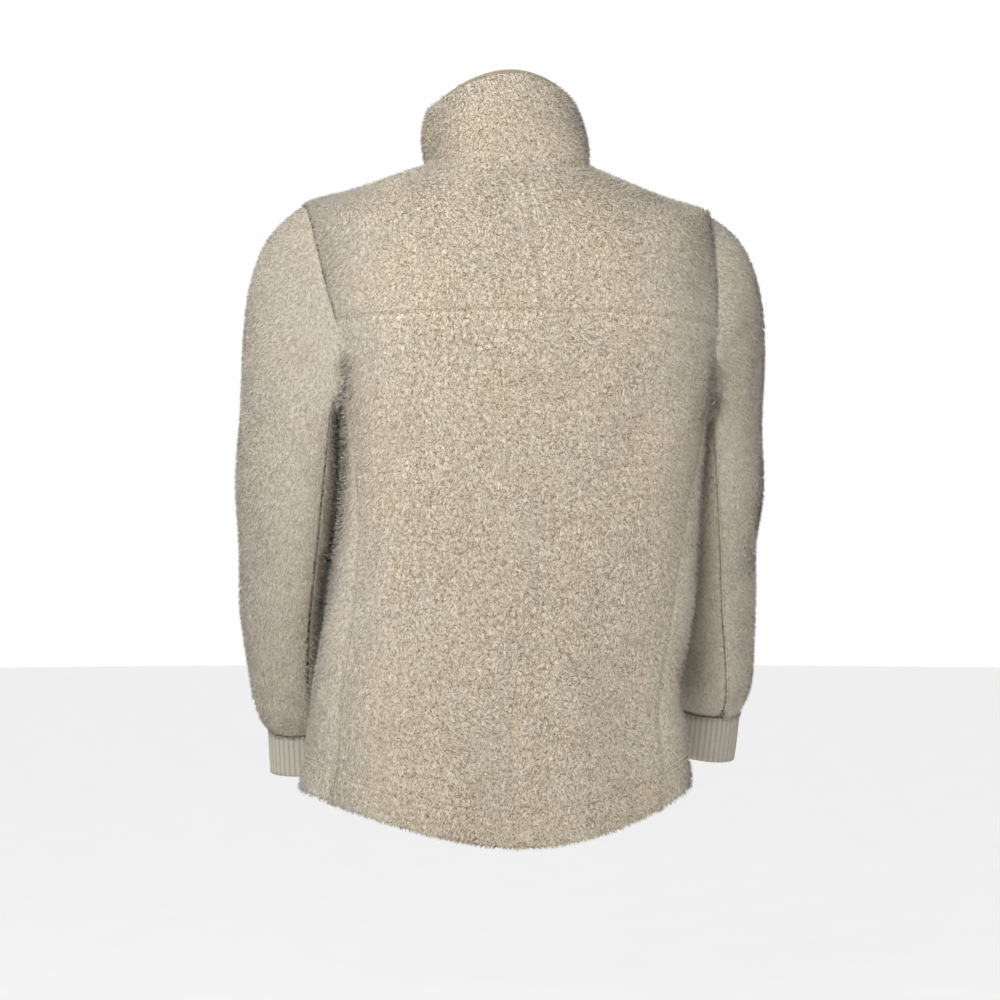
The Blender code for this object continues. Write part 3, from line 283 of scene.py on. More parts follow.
def nearest(places, spots):
    """How far each place is from the nearest of some spots, and which one that is."""
    tree = KDTree(len(spots))
    for k, spot in enumerate(spots):
        tree.insert(spot, k)
    tree.balance()
    found = [tree.find(place) for place in places]
    return np.array([f[2] for f in found]), np.array([f[1] for f in found])


def walked(places):
    """How far along a line of places each one is."""
    return np.concatenate([[0.0], np.cumsum(np.linalg.norm(np.diff(places, axis=0), axis=1))])


def value_at(at, lengths, values):
    return np.array([np.interp(at, lengths, values[:, k]) for k in range(3)])


def link(obj):
    bpy.context.scene.collection.objects.link(obj)
    return obj


def object_from(mesh, name):
    """A new object from an edited mesh, which is used up."""
    data = bpy.data.meshes.new(name)
    mesh.to_mesh(data)
    mesh.free()
    return link(bpy.data.objects.new(name, data))


def apply_modifiers(obj):
    """Gives an object the mesh that its modifiers make."""
    before = obj.data
    graph = bpy.context.evaluated_depsgraph_get()
    finer = bpy.data.meshes.new_from_object(obj.evaluated_get(graph), depsgraph=graph)
    obj.modifiers.clear()
    obj.data = finer
    bpy.data.meshes.remove(before)


def dress(piece, materials, node=None, body=BODY):
    """Gives a piece its looks and its body, and the node of the frame that it takes the place of."""
    for material in materials:
        piece.data.materials.append(MATERIALS[material])
    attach(piece, body)
    if node:
        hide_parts(node)


def subdivided(obj, levels):
    modifier = obj.modifiers.new("smooth", "SUBSURF")
    modifier.levels = modifier.render_levels = levels
    apply_modifiers(obj)
    return obj


# ---- node helpers for materials
COLOUR_A, COLOUR_B, COLOUR_RESULT = 6, 7, 2  # the colour sockets of a Mix node
EVEN = (1.0, 1.0, 1.0)
SHEEN_TINT = (1.0, 0.97, 0.9, 1.0)
SHEEN_ROUGHNESS = 0.6


class Nodes:
    """A few short ways to add nodes to a material or a world."""

    def __init__(self, owner):
        owner.use_nodes = True
        self.tree = owner.node_tree

    def node(self, kind, **settings):
        made = self.tree.nodes.new("ShaderNode" + kind)
        for name, value in settings.items():
            if name in made.inputs:
                made.inputs[name].default_value = value
            else:
                setattr(made, name, value)
        return made

    def join(self, output, target):
        self.tree.links.new(output, target)

    def joined(self, output, kind, target="Vector", **settings):
        """A new node that an output goes into."""
        made = self.node(kind, **settings)
        self.join(output, made.inputs[target])
        return made

    def spread(self, value, reach, ends=(0.0, 1.0), kind="LINEAR"):
        """From one end to the other, as a value goes through its reach."""
        limits = {"From Min": reach[0], "From Max": reach[1], "To Min": ends[0], "To Max": ends[1]}
        made = self.joined(value, "MapRange", "Value", interpolation_type=kind, **limits)
        return made.outputs["Result"]


class Shader(Nodes):
    """A Principled material with procedural patterns."""

    def __init__(self, name, colour, roughness, metallic=0.0, sheen=0.0):
        self.material = bpy.data.materials.new(name)
        super().__init__(self.material)
        self.principled = self.tree.nodes["Principled BSDF"]
        self.set("Base Color", (*colour, 1.0))
        self.set("Roughness", roughness)
        self.set("Metallic", metallic)
        if sheen:
            self.set("Sheen Weight", sheen)
            self.set("Sheen Roughness", SHEEN_ROUGHNESS)
            self.set("Sheen Tint", SHEEN_TINT)

    def set(self, socket, value):
        self.principled.inputs[socket].default_value = value

    def object_place(self, stretch=EVEN):
        place = self.node("TexCoord").outputs["Object"]
        return self.joined(place, "Mapping", Scale=stretch).outputs["Vector"]

    def noise(self, scale, detail=2.0, stretch=EVEN):
        place = self.object_place(stretch)
        return self.joined(place, "TexNoise", Scale=scale, Detail=detail).outputs["Fac"]

    def wave(self, scale, direction="Z", distortion=0.0):
        settings = {"bands_direction": direction, "Scale": scale, "Distortion": distortion}
        return self.joined(self.object_place(), "TexWave", **settings).outputs["Fac"]

    def attribute(self, name):
        return self.node("Attribute", attribute_name=name).outputs["Color"]

    def ramp(self, source, stops):
        made = self.joined(source, "ValToRGB", "Fac")
        ramp = made.color_ramp
        while len(ramp.elements) < len(stops):
            ramp.elements.new(0.5)
        for element, (place, colour) in zip(ramp.elements, stops):
            element.position = place
            element.color = (*colour, 1.0)
        return made.outputs["Color"]

    def multiply(self, first, second):
        made = self.node("Mix", data_type="RGBA", blend_type="MULTIPLY", Factor=1.0)
        self.join(first, made.inputs[COLOUR_A])
        self.join(second, made.inputs[COLOUR_B])
        return made.outputs[COLOUR_RESULT]

    def blend(self, share, first, second):
        """From the first colour to the second, where the first is white if it is left out."""
        made = self.joined(share, "Mix", "Factor", data_type="RGBA")
        made.inputs[COLOUR_A].default_value = (*WHITE, 1.0)
        if first is not None:
            self.join(first, made.inputs[COLOUR_A])
        self.join(second, made.inputs[COLOUR_B])
        return made.outputs[COLOUR_RESULT]

    def warped_place(self, scale, amount, stretch=EVEN):
        """Object coordinates that a noise bends, for patterns that wander."""
        place = self.object_place()
        noise = self.joined(place, "TexNoise", Scale=scale, Detail=1.0)
        swing = self.joined(noise.outputs["Color"], "VectorMath", 0, operation="MULTIPLY_ADD")
        swing.inputs[1].default_value = (amount, amount, amount)
        self.join(place, swing.inputs[2])
        return self.joined(swing.outputs["Vector"], "Mapping", Scale=stretch).outputs["Vector"]

    def cracks(self, place, size):
        """Distance to the nearest crack of a crackle, in cells."""
        made = self.joined(place, "TexVoronoi", feature="DISTANCE_TO_EDGE", Scale=1.0 / size)
        return made.outputs["Distance"]

    def colour_from(self, output):
        self.join(output, self.principled.inputs["Base Color"])

    def flecked(self, pattern, colour, darkest, low, high):
        """The colour where a pattern is high, and a darker one where it is low."""
        return self.ramp(pattern, [(low, shade(colour, darkest)), (high, colour)])

    def bump(self, height, distance, strength=1.0):
        made = self.joined(height, "Bump", "Height", Strength=strength, Distance=distance)
        last = self.principled.inputs["Normal"]
        if last.is_linked:
            self.join(last.links[0].from_socket, made.inputs["Normal"])
        self.join(made.outputs["Normal"], last)


# ---- materials
def linear(red, green, blue):
    """A colour given as sRGB 0 to 255, as the renderer's own linear values."""
    return tuple(((c / 255.0 + 0.055) / 1.055) ** 2.4 for c in (red, green, blue))


PILE_LIGHT = linear(227, 219, 206)
PILE_DARK = linear(175, 164, 144)
GROUND_COLOUR = linear(205, 197, 181)
KNIT_COLOUR = linear(206, 194, 170)
FACING_COLOUR = linear(152, 136, 108)
RIB_LIGHT = linear(165, 161, 148)
RIB_SHADED = linear(143, 138, 125)
TAPE_COLOUR = linear(176, 162, 134)
THREAD_COLOUR = linear(206, 194, 168)
METAL_COLOUR = linear(182, 178, 168)
WHITE = (1.0, 1.0, 1.0)
BLACK = (0.0, 0.0, 0.0)
WIDE_CRACKS = 0.0058
FINE_CRACKS = 0.0029
WIDE_LINE = 0.09  # a crack's width, in cells
FINE_LINE = 0.14
LINE_CORE = 0.25  # of its width: the darkest part
CRACK_DEPTHS = (0.0008, 0.0007)
CRACK_STRENGTHS = (1.12, 0.5)  # crisp and soft
SOFT_TONE = (0.76, 0.76, 0.77)
# painted shade in the crevices between tufts, for the wide and the fine crackle
CRACK_SHADE = (0.52, 0.45, 0.36)
FINE_CRACK_SHADE = (0.60, 0.53, 0.43)
WARM_COLOUR = (1.0, 0.98, 0.945)
COOL_COLOUR = (0.985, 0.985, 0.98)
HAIR_SHADE = (0.90, 0.89, 0.87)
SPECK_SHADE = (0.86, 0.85, 0.83)
METAL_ROUGHNESS = (0.26, 0.46)
FLOOR_TONES = (0.96, 0.98)
FLOOR_GLOW = 0.15


def shade(colour, share):
    return tuple(share * c for c in colour)


def paler(colour, strength):
    """A shade that darkens by a share of what it did."""
    return tuple(1.0 - strength * (1.0 - c) for c in colour)


def broken_lines(shader, lines, gaps, colour, width, strength):
    """A crackle's lines in painted shade, with parts of them left out."""
    dark = paler(colour, strength)
    drawn = shader.ramp(lines, [(0.0, dark), (LINE_CORE * width, dark), (width, WHITE)])
    return shader.blend(gaps, None, drawn)


def softness(shader):
    """0 down the middle of the garment and 1 on its sides and sleeves."""
    parts = shader.joined(shader.object_place(), "SeparateXYZ")
    away = shader.joined(parts.outputs["X"], "Math", 0, operation="ABSOLUTE")
    return shader.spread(away.outputs[0], CRISP_REACH, kind="SMOOTHSTEP")


def crackled(shader, colour):
    """Painted shade in the thin crevices between tufts, over a colour: round cells and finer drawn-out ones,
    both broken into short strokes, strong on the middle of the garment and faint on its sides and sleeves."""
    wide = shader.cracks(shader.warped_place(140.0, 0.0075), WIDE_CRACKS)
    fine = shader.cracks(shader.warped_place(26.0, 0.040, (1.0, 1.0, 0.55)), FINE_CRACKS)
    wide_gaps = shader.ramp(shader.noise(240.0, 1.0), [(0.44, BLACK), (0.56, WHITE)])
    fine_gaps = shader.ramp(shader.noise(330.0, 1.0), [(0.40, BLACK), (0.54, WHITE)])
    looks = []
    for strength in CRACK_STRENGTHS:
        round_lines = broken_lines(shader, wide, wide_gaps, CRACK_SHADE, WIDE_LINE, strength)
        long_lines = broken_lines(shader, fine, fine_gaps, FINE_CRACK_SHADE, FINE_LINE, strength)
        looks.append(shader.multiply(round_lines, long_lines))
    soft = softness(shader)
    looks[1] = shader.multiply(looks[1], shader.ramp(soft, [(0.0, WHITE), (1.0, SOFT_TONE)]))
    lined = shader.multiply(colour, shader.blend(soft, *looks))
    tone = shader.ramp(shader.noise(15.0), [(0.38, COOL_COLOUR), (0.62, WARM_COLOUR)])
    shader.colour_from(shader.multiply(lined, tone))
    for lines, depth, strength in zip((wide, fine), CRACK_DEPTHS, (0.5, 0.6)):
        shader.bump(shader.ramp(lines, [(0.0, BLACK), (0.4, WHITE)]), depth, strength)


def pile_material():
    shader = Shader("pile_tips", PILE_LIGHT, 0.95, sheen=0.25)
    hairs = shader.noise(1500.0, stretch=(1.0, 1.0, 0.25))
    # the locks' painted shade and their own random tones, from dark to light
    ramp = shader.ramp(shader.attribute("tone_and_shade"), [(0.0, PILE_DARK), (1.0, PILE_LIGHT)])
    hair_tone = shader.ramp(hairs, [(0.3, HAIR_SHADE), (0.7, WHITE)])
    crackled(shader, shader.multiply(ramp, hair_tone))
    return shader.material


def ground_material():
    """The knit at the pile's roots, which shows in the crevices, in a colour a little darker than the pile's
    as painted shade there.
    """
    shader = Shader("pile_ground", GROUND_COLOUR, 0.95, sheen=0.2)
    grain = shader.noise(900.0, stretch=(1.0, 1.0, 0.4))
    crackled(shader, shader.flecked(grain, GROUND_COLOUR, 0.86, 0.35, 0.6))
    return shader.material


def knit_material(name, colour, wale, nap_scale, roughness):
    """A fine knit: wales across, courses down and a little nap."""
    shader = Shader(name, colour, roughness, sheen=0.2)
    nap = shader.noise(nap_scale, 3.0)
    shader.colour_from(shader.flecked(nap, colour, 0.84, 0.3, 0.7))
    shader.bump(shader.wave(wale, "Z", 1.2), 0.0003, 0.6)
    shader.bump(shader.wave(wale, "X", 0.8), 0.0002, 0.5)
    shader.bump(nap, 0.0005)
    return shader.material


def rib_material():
    """Ribbed knit: painted shade in the valleys, with the stitches' small V shapes on the crests."""
    shader = Shader("rib_knit", RIB_LIGHT, 0.9, sheen=0.2)
    stitches = shader.wave(310.0, "Z", 3.0)
    # painted shade: darker where a corner lies in a rib's valley
    tone = shader.ramp(shader.attribute("rise"), [(0.10, RIB_SHADED), (0.62, RIB_LIGHT)])
    speck = shader.ramp(shader.noise(700.0), [(0.3, SPECK_SHADE), (0.7, WHITE)])
    course = shader.ramp(stitches, [(0.0, HAIR_SHADE), (0.6, WHITE)])
    shader.colour_from(shader.multiply(shader.multiply(tone, speck), course))
    shader.bump(stitches, 0.0003, 0.7)
    return shader.material


def tape_material():
    """Woven tape: rows across it and ribs along it."""
    shader = Shader("woven_tape", TAPE_COLOUR, 0.8, sheen=0.15)
    shader.colour_from(shader.flecked(shader.noise(800.0), TAPE_COLOUR, 0.82, 0.3, 0.7))
    shader.bump(shader.wave(420.0, "Z", 0.4), 0.0002, 0.8)
    shader.bump(shader.wave(300.0, "X", 0.2), 0.0002, 0.8)
    return shader.material


def metal_material():
    """Satin plated metal, a little worn and cloudy."""
    shader = Shader("zip_metal", METAL_COLOUR, 0.34, metallic=1.0)
    shader.colour_from(shader.flecked(shader.noise(240.0, 3.0), METAL_COLOUR, 0.72, 0.35, 0.65))
    low, high = (shade(WHITE, roughness) for roughness in METAL_ROUGHNESS)
    rough = shader.ramp(shader.noise(520.0, 3.0), [(0.3, low), (0.7, high)])
    shader.join(rough, shader.principled.inputs["Roughness"])
    shader.bump(shader.noise(1400.0), 0.00005, 0.6)
    return shader.material


def thread_material():
    shader = Shader("thread", THREAD_COLOUR, 0.7, sheen=0.1)
    twist = shader.wave(900.0, "DIAGONAL")
    shader.colour_from(shader.flecked(twist, THREAD_COLOUR, 0.7, 0.2, 0.7))
    shader.bump(twist, 0.0001)
    return shader.material


MATERIALS = {
    "pile": pile_material(),
    "ground": ground_material(),
    "backing": knit_material("backing_knit", KNIT_COLOUR, 260.0, 420.0, 0.92),
    "facing": knit_material("facing_knit", FACING_COLOUR, 300.0, 300.0, 0.85),
    "rib": rib_material(),
    "tape": tape_material(),
    "metal": metal_material(),
    "thread": thread_material(),
}


# ---- cloth walls
def welded(node):
    """The frame's mesh of a node with its corners welded and its triangles joined into quads."""
    mesh = bmesh.new()
    mesh.from_mesh(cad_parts[node].data)
    bmesh.ops.remove_doubles(mesh, verts=mesh.verts, dist=WELD)
    bmesh.ops.join_triangles(
        mesh,
        faces=mesh.faces,
        angle_face_threshold=math.radians(40.0),
        angle_shape_threshold=math.radians(60.0),
    )
    mesh.normal_update()
    return mesh


def thicknesses(mesh):
    """How far it is from each face straight through the cloth to the other side."""
    tree = BVHTree.FromBMesh(mesh)
    found = np.full(len(mesh.faces), 1.0)
    for k, face in enumerate(mesh.faces):
        hit = tree.ray_cast(face.calc_center_median() - RAY_START * face.normal, -face.normal)
        if hit[0] is not None:
            found[k] = hit[3]
    return found


def smooth_regions(mesh):
    """Groups of faces that meet at less than the angle of a cut edge."""
    mesh.faces.ensure_lookup_table()
    mesh.faces.index_update()
    region = np.full(len(mesh.faces), -1)
    count = 0
    for face in mesh.faces:
        if region[face.index] >= 0:
            continue
        waiting = [face]
        region[face.index] = count
        while waiting:
            for edge in waiting.pop().edges:
                if edge.calc_face_angle(math.pi) > CREASED_ANGLE:
                    continue
                for other in edge.link_faces:
                    if region[other.index] < 0:
                        region[other.index] = count
                        waiting.append(other)
        count += 1
    return region, count


def sort_faces(mesh, core):
    """Marks each face by its material: 0 for the outer side, 1 for the inner side and the cut edges."""
    region, count = smooth_regions(mesh)
    thick = thicknesses(mesh)
    areas = np.array([face.calc_area() for face in mesh.faces])
    middles = np.array([face.calc_center_median() for face in mesh.faces])
    normals = np.array([face.normal for face in mesh.faces])
    away = units(middles - core_points(middles, core))
    cosine = (away * normals).sum(axis=1)
    outer = np.zeros(len(areas), bool)
    for k in range(count):
        own = region == k
        thin = np.median(thick[own]) < RIM_THICKNESS
        outer[own] = thin and (cosine[own] * areas[own]).sum() > 0.0
    if core == "torso":
        outer |= (normals[:, 2] < DOWNWARD) & (middles[:, 2] < HEM_EDGE_LEVEL)
    if core == "collar":
        outer |= (normals[:, 2] > UPWARD) & (cosine > INWARD)
    for face, is_outer in zip(mesh.faces, outer):
        face.material_index = 0 if is_outer else 1


def crease_edges(mesh, strength=1.0, keep_outer_round=False):
    """Keeps a wall's cut edges sharp when it is made finer."""
    crease = mesh.edges.layers.float.new("crease_edge")
    for edge in mesh.edges:
        faces = edge.link_faces
        if len(faces) != 2 or edge.calc_face_angle(0.0) <= CREASED_ANGLE:
            continue
        if not (keep_outer_round and all(face.material_index == 0 for face in faces)):
            edge[crease] = strength


def smooth_faces(mesh):
    for face in mesh.faces:
        face.smooth = True


def refined(node, core):
    """The node's closed wall after smooth subdivision, as a new object."""
    mesh = welded(node)
    sort_faces(mesh, core)
    smooth_faces(mesh)
    crease_edges(mesh, keep_outer_round=True)
    return subdivided(object_from(mesh, node + "_cloth"), REFINE_LEVELS)


class Wall:
    """A refined wall's arrays: corners, faces, and the outward direction and pile depth at each corner of
    its outer side."""

    def __init__(self, obj):
        self.obj = obj
        data = obj.data
        data.calc_loop_triangles()
        self.points = read(data.vertices, "co", 3)
        triangles = read(data.loop_triangles, "vertices", 3).astype(int)
        face_of = read(data.loop_triangles, "polygon_index", 1).astype(int)
        side = read(data.polygons, "material_index", 1).astype(int)
        self.triangles = triangles[side[face_of] == 0]
        self.others = triangles[side[face_of] != 0]
        self.normals = self.outward()
        self.depth = np.zeros(len(self.points))
        self.border = np.intersect1d(self.triangles, self.others)

    def edge_line(self):
        """Places close together along the edge of the outer side, and the way out there."""
        on_edge = np.zeros(len(self.points), bool)
        on_edge[self.border] = True
        places, normals = [], []
        for side in SIDES:
            pairs = self.triangles[:, side]
            a, b = pairs[on_edge[pairs].all(axis=1)].T
            for share in (0.0, 0.25, 0.5, 0.75):
                places.append(between((self.points[a], self.points[b]), share))
                normals.append(between((self.normals[a], self.normals[b]), share))
        return np.concatenate(places), np.concatenate(normals)

    def outward(self):
        a, b, c = (self.points[self.triangles[:, k]] for k in range(3))
        normals = np.zeros_like(self.points)
        cross = np.cross(b - a, c - a)
        for k in range(3):
            np.add.at(normals, self.triangles[:, k], cross)
        return units(normals)

    def measure_depth(self):
        """How deep the pile is at each outer corner: less where the wall is thin."""
        everywhere = np.concatenate([self.triangles, self.others])
        tree = BVHTree.FromPolygons(self.points.tolist(), everywhere.tolist())
        for k in np.unique(self.triangles):
            inward = Vector(-self.normals[k])
            hit = tree.ray_cast(Vector(self.points[k]) + 2.0 * RAY_START * inward, inward)
            thick = hit[3] if hit[0] is not None else PILE_DEPTH
            self.depth[k] = min(PILE_DEPTH, PILE_SHARE * thick)
        inside = np.setdiff1d(np.unique(self.triangles), self.border)
        _, found = nearest(self.points[self.border], self.points[inside])
        self.depth[self.border] = self.depth[inside[found]]

    def sink(self):
        """Draws the outer side in to the knit."""
        sunk = self.points - self.depth[:, None] * self.normals
        self.obj.data.vertices.foreach_set("co", sunk.astype(np.float32).ravel())
        self.obj.data.update()


def read(items, name, width):
    kind = np.float32 if name == "co" else np.int32
    values = np.empty(len(items) * width, kind)
    items.foreach_get(name, values)
    return values.reshape(-1, width).astype(float) if width > 1 else values


# ---- pile
def scatter(wall, density, rng):
    """Random roots on the outer side: place, direction outwards and depth of the pile."""
    corners = wall.points[wall.triangles]
    areas = np.linalg.norm(np.cross(corners[:, 1] - corners[:, 0], corners[:, 2] - corners[:, 0]), axis=1) / 2
    counts = np.floor(areas * density + rng.random(len(areas))).astype(int)
    chosen = np.repeat(np.arange(len(areas)), counts)
    share = rng.random((len(chosen), 2))
    over = share.sum(axis=1) > 1.0
    share[over] = 1.0 - share[over]
    weights = np.column_stack([1.0 - share.sum(axis=1), share])[..., None]
    picked = wall.triangles[chosen]
    places = (wall.points[picked] * weights).sum(axis=1)
    normals = units((wall.normals[picked] * weights).sum(axis=1))
    depth = (wall.depth[picked] * weights[..., 0]).sum(axis=1)
    return places, normals, depth


def flow(places, normals):
    """The way the pile lies: mostly down the cloth, swirling slowly."""
    wander = 0.75 * soft_noise(places, 0.060, 3) + 0.6 * soft_noise(places, 0.021, 4)
    return flattened(np.array([0.0, 0.0, FLOW_DOWN]) + FLOW_SWIRL * wander, normals)


def tufts(places):
    """How deep in a crevice each lock stands, and the way to the middle of its tuft. The middle of the
    back has round tufts, and the rest has drawn-out ones that swirl."""
    rounded = places + TUFT_WANDER * soft_noise(places, 0.004, 8)
    crevice, centre = tuft_cells(rounded, TUFT_SIZE, 5)
    inward = centre - rounded
    stretch = np.array([1.0, 1.0, DRAWN_STRETCH])
    swirled = (places + DRAWN_WANDER * soft_noise(places, 0.050, 9)) * stretch
    drawn_crevice, centre = tuft_cells(swirled, DRAWN_SIZE, 6)
    drawn_inward = (centre - swirled) / stretch * (1.0, 1.0, DRAWN_LIFT)
    far = np.linalg.norm((places - np.array(CRACKLED_MIDDLE)) * CRACKLED_SHAPE, axis=1)
    share = np.clip(passed(far, CRACKLED_REACH) + 0.5 * soft_noise(places, 0.03, 10)[:, 0], 0.0, 1.0)
    return between((crevice, drawn_crevice), share), between((inward, drawn_inward), share[:, None])


def tuft_cells(places, size, salt):
    first, second, centre = cells(places, size, salt)
    return near(second - first, CREVICE_WIDTH), centre


def flattened(vectors, normals):
    """The part of each vector that lies along the cloth."""
    return vectors - (vectors * normals).sum(axis=1, keepdims=True) * normals


def make_pile(wall, name, density, seams, seam_normals, hem, neighbours):
    """Pointed locks all over a wall's outer side. Beside a seam they lean over it, and where another
    piece of the garment nearly touches they grow to meet its pile."""
    rng = np.random.default_rng(sum(ord(letter) for letter in name))
    places, normals, depth = scatter(wall, density, rng)
    in_seam = seams + SEAM_SCATTER * (2.0 * rng.random(seams.shape) - 1.0)
    places = np.concatenate([places, in_seam])
    normals = np.concatenate([normals, units(seam_normals)])
    depth = np.concatenate([depth, np.full(len(seams), SEAM_DEPTH)])
    crevice, inward = tufts(places)
    to_seam, at_seam = nearest(places, seams)
    seam = near(to_seam, SEAM_REACH)
    groove = stitch_grooves(places, hem)
    touch = near(nearest(places, neighbours)[0], TOUCH_REACH)

    count = len(places)
    height = (depth + PILE_RISE) * between(LOCK_HEIGHTS, rng.random(count)) * (1.0 - CREVICE_DROP * crevice)
    height *= (1.0 - GROOVE_DROP * groove) * (1.0 + TOUCH_GROWTH * touch)
    lean = LOCK_LEAN * between(LOCK_LEANS, rng.random(count))
    lean *= (1.0 - SEAM_STILL * seam) * (1.0 - TOUCH_STILL * touch) * (1.0 - GROOVE_STILL * groove)
    turn = flattened(LOCK_TURN * (rng.random((count, 3)) - 0.5), normals)
    aside = units(flow(places, normals) + turn) * lean[:, None]
    aside += flattened(inward, normals) * (TUFT_PULL * (1.0 - seam))[:, None]
    aside += units(flattened(seams[at_seam] - places, normals)) * (SEAM_PULL * seam)[:, None]
    radius = LOCK_RADIUS * between(LOCK_WIDTHS, rng.random(count))[:, None]
    root = places - ROOT_SINK * depth[:, None] * normals
    tip = root + ROOT_SINK * height[:, None] * normals + aside
    ring = lock_ring(aside, normals)
    points = np.stack([root + radius * way for way in ring] + [tip], axis=1)
    shading = np.stack([units(normals + LOCK_ROUNDING * way) for way in ring] + [normals], axis=1)

    # painted shade: locks are darker in crevices, beside seams, in stitch grooves and towards their roots;
    # their random tones are their own
    bright = between(LOCK_TONES, rng.random(count)) * (1.0 - CREVICE_SHADE * crevice)
    bright *= (1.0 - SEAM_SHADE * seam) * (1.0 - GROOVE_SHADE * groove)
    at_root = between(ROOT_SHADE_TINTS, passed(abs(places[:, 0]), CRISP_REACH)) * bright
    tones_and_shades = np.stack([at_root] * 3 + [bright], axis=1)
    return lock_mesh(name, points, tones_and_shades, shading)


def stitch_grooves(places, hem):
    """How much each place is pressed down by a row of stitches along the hem."""
    from_hem, _ = nearest(places, hem)
    return np.max([near(abs(from_hem - row), STITCH_GROOVE) for row in STITCH_ROWS], axis=0)


def lock_ring(aside, normals):
    """The ways from a lock's middle line to its three corners."""
    across = units(np.cross(aside, normals))
    along = np.cross(normals, across)
    return [across, -0.5 * across + 0.87 * along, -0.5 * across - 0.87 * along]


def lock_mesh(name, points, tones_and_shades, shading):
    """One mesh of locks, each with three sides that meet in its tip."""
    count = len(points)
    corners = np.arange(count)[:, None] * 4 + np.array([0, 1, 3, 1, 2, 3, 2, 0, 3])
    data = bpy.data.meshes.new(name)
    data.vertices.add(count * 4)
    data.vertices.foreach_set("co", points.astype(np.float32).ravel())
    data.loops.add(count * 9)
    data.loops.foreach_set("vertex_index", corners.astype(np.int32).ravel())
    data.polygons.add(count * 3)
    data.polygons.foreach_set("loop_start", np.arange(count * 3, dtype=np.int32) * 3)
    data.polygons.foreach_set("use_smooth", np.ones(count * 3, bool))
    data.update(calc_edges=True)
    tone_and_shade = data.color_attributes.new("tone_and_shade", "FLOAT_COLOR", "POINT")
    grey = np.repeat(tones_and_shades.reshape(-1, 1), 4, axis=1)
    grey[:, 3] = 1.0
    tone_and_shade.data.foreach_set("color", grey.astype(np.float32).ravel())
    data.normals_split_custom_set_from_vertices(shading.reshape(-1, 3).astype(np.float32))
    return link(bpy.data.objects.new(name, data))


def neighbour_points(walls, core):
    """Points of the outer sides of the garment's other parts: the body for a sleeve, and the sleeves for
    the body, away from the armhole that joins them."""
    found = [np.full((1, 3), 9.0)]
    for node, wall in walls.items():
        other = PIECES[node][0]
        if (core == "torso") == (other == "torso") or "collar" in (core, other):
            continue
        points = wall.points[np.unique(wall.triangles)]
        found.append(points[points[:, 2] < TOUCH_TOP])
    return np.concatenate(found)


def sewn_to(node):
    """The pieces whose edges may be sewn to a node's: all others, but not a front to a front."""
    kind = "front" if node.startswith("front") else node
    return [other for other in PIECES if not other.startswith(kind)]


def close_seams(walls):
    """Brings the outer edges of two pieces together at each seam, has both face the same way there, and
    hangs the sleeves' ends over the cuffs."""
    lines = {node: wall.edge_line() for node, wall in walls.items()}
    moves = []
    for node, wall in walls.items():
        places = np.concatenate([lines[other][0] for other in sewn_to(node)])
        normals = np.concatenate([lines[other][1] for other in sewn_to(node)])
        own = wall.points[wall.border]
        gap, found = nearest(own, places)
        sewn = gap < SEAM_CLOSE
        share = 0.5 * np.clip(1.0 - SEAM_GAP / np.maximum(gap, SEAM_GAP), 0.0, 1.0)[:, None]
        moved = own + share * (places[found] - own)
        turned = units(wall.normals[wall.border] + units(normals[found]))
        moves.append((wall, wall.border[sewn], moved[sewn], turned[sewn]))
        for cuff in cuff_points():
            over = wall.border[nearest(own, cuff)[0] < CUFF_REACH]
            lowered = wall.points[over] + CUFF_OVERLAP * way_down(cuff)
            moves.append((wall, over, lowered, wall.normals[over]))
    for wall, corners, moved, turned in moves:
        wall.points[corners] = moved
        wall.normals[corners] = turned


def cuff_points():
    """The corners of each cuff, which the sleeves' pile hangs over."""
    return [read(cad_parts["cuff_" + side].data.vertices, "co", 3) for side in ("left", "right")]


def way_down(cuff):
    """A cuff's own axis, towards the hand."""
    lower = cuff[:, 2] < np.median(cuff[:, 2])
    return units(cuff[lower].mean(axis=0) - cuff[~lower].mean(axis=0))


def make_cloth():
    walls = {node: Wall(refined(node, piece[0])) for node, piece in PIECES.items()}
    for wall in walls.values():
        wall.measure_depth()
    close_seams(walls)
    edges = {node: wall.edge_line() for node, wall in walls.items()}
    hem_edge = np.concatenate([hem_points(wall) for wall in walls.values()])
    for node, wall in walls.items():
        core, flat, area, density, carried_by = PIECES[node]
        others = np.concatenate([edges[other][0] for other in sewn_to(node)] + cuff_points())
        seams, seam_normals = edges[node]
        sewn = nearest(seams, others)[0] < SEAM_GAP_LIMIT
        touching = neighbour_points(walls, core)
        pile = make_pile(wall, node + "_pile", density, seams[sewn], seam_normals[sewn], hem_edge, touching)
        dress(pile, ["pile"])
        if core == "torso":
            make_stitches(wall, node + "_stitching", hem_edge)
        wall.sink()
        cloth = wall.obj
        dress(cloth, ["ground", "backing"], node)


def hem_points(wall):
    """Corners along the lowest rim of a body piece."""
    low = wall.points[:, 2] < HEM_EDGE_LEVEL
    down = wall.normals[:, 2] < -0.5
    return wall.points[low & down]


def contour(wall, values, level):
    """Where a value given at a wall's corners reaches a level on its outer side: places and normals."""
    places, normals = [], []
    for side in SIDES:
        a, b = wall.triangles[:, side].T
        crossed = (values[a] - level) * (values[b] - level) < 0.0
        a, b = a[crossed], b[crossed]
        share = ((level - values[a]) / (values[b] - values[a]))[:, None]
        places.append(between((wall.points[a], wall.points[b]), share))
        normals.append(units(between((wall.normals[a], wall.normals[b]), share)))
    return np.concatenate(places), np.concatenate(normals)


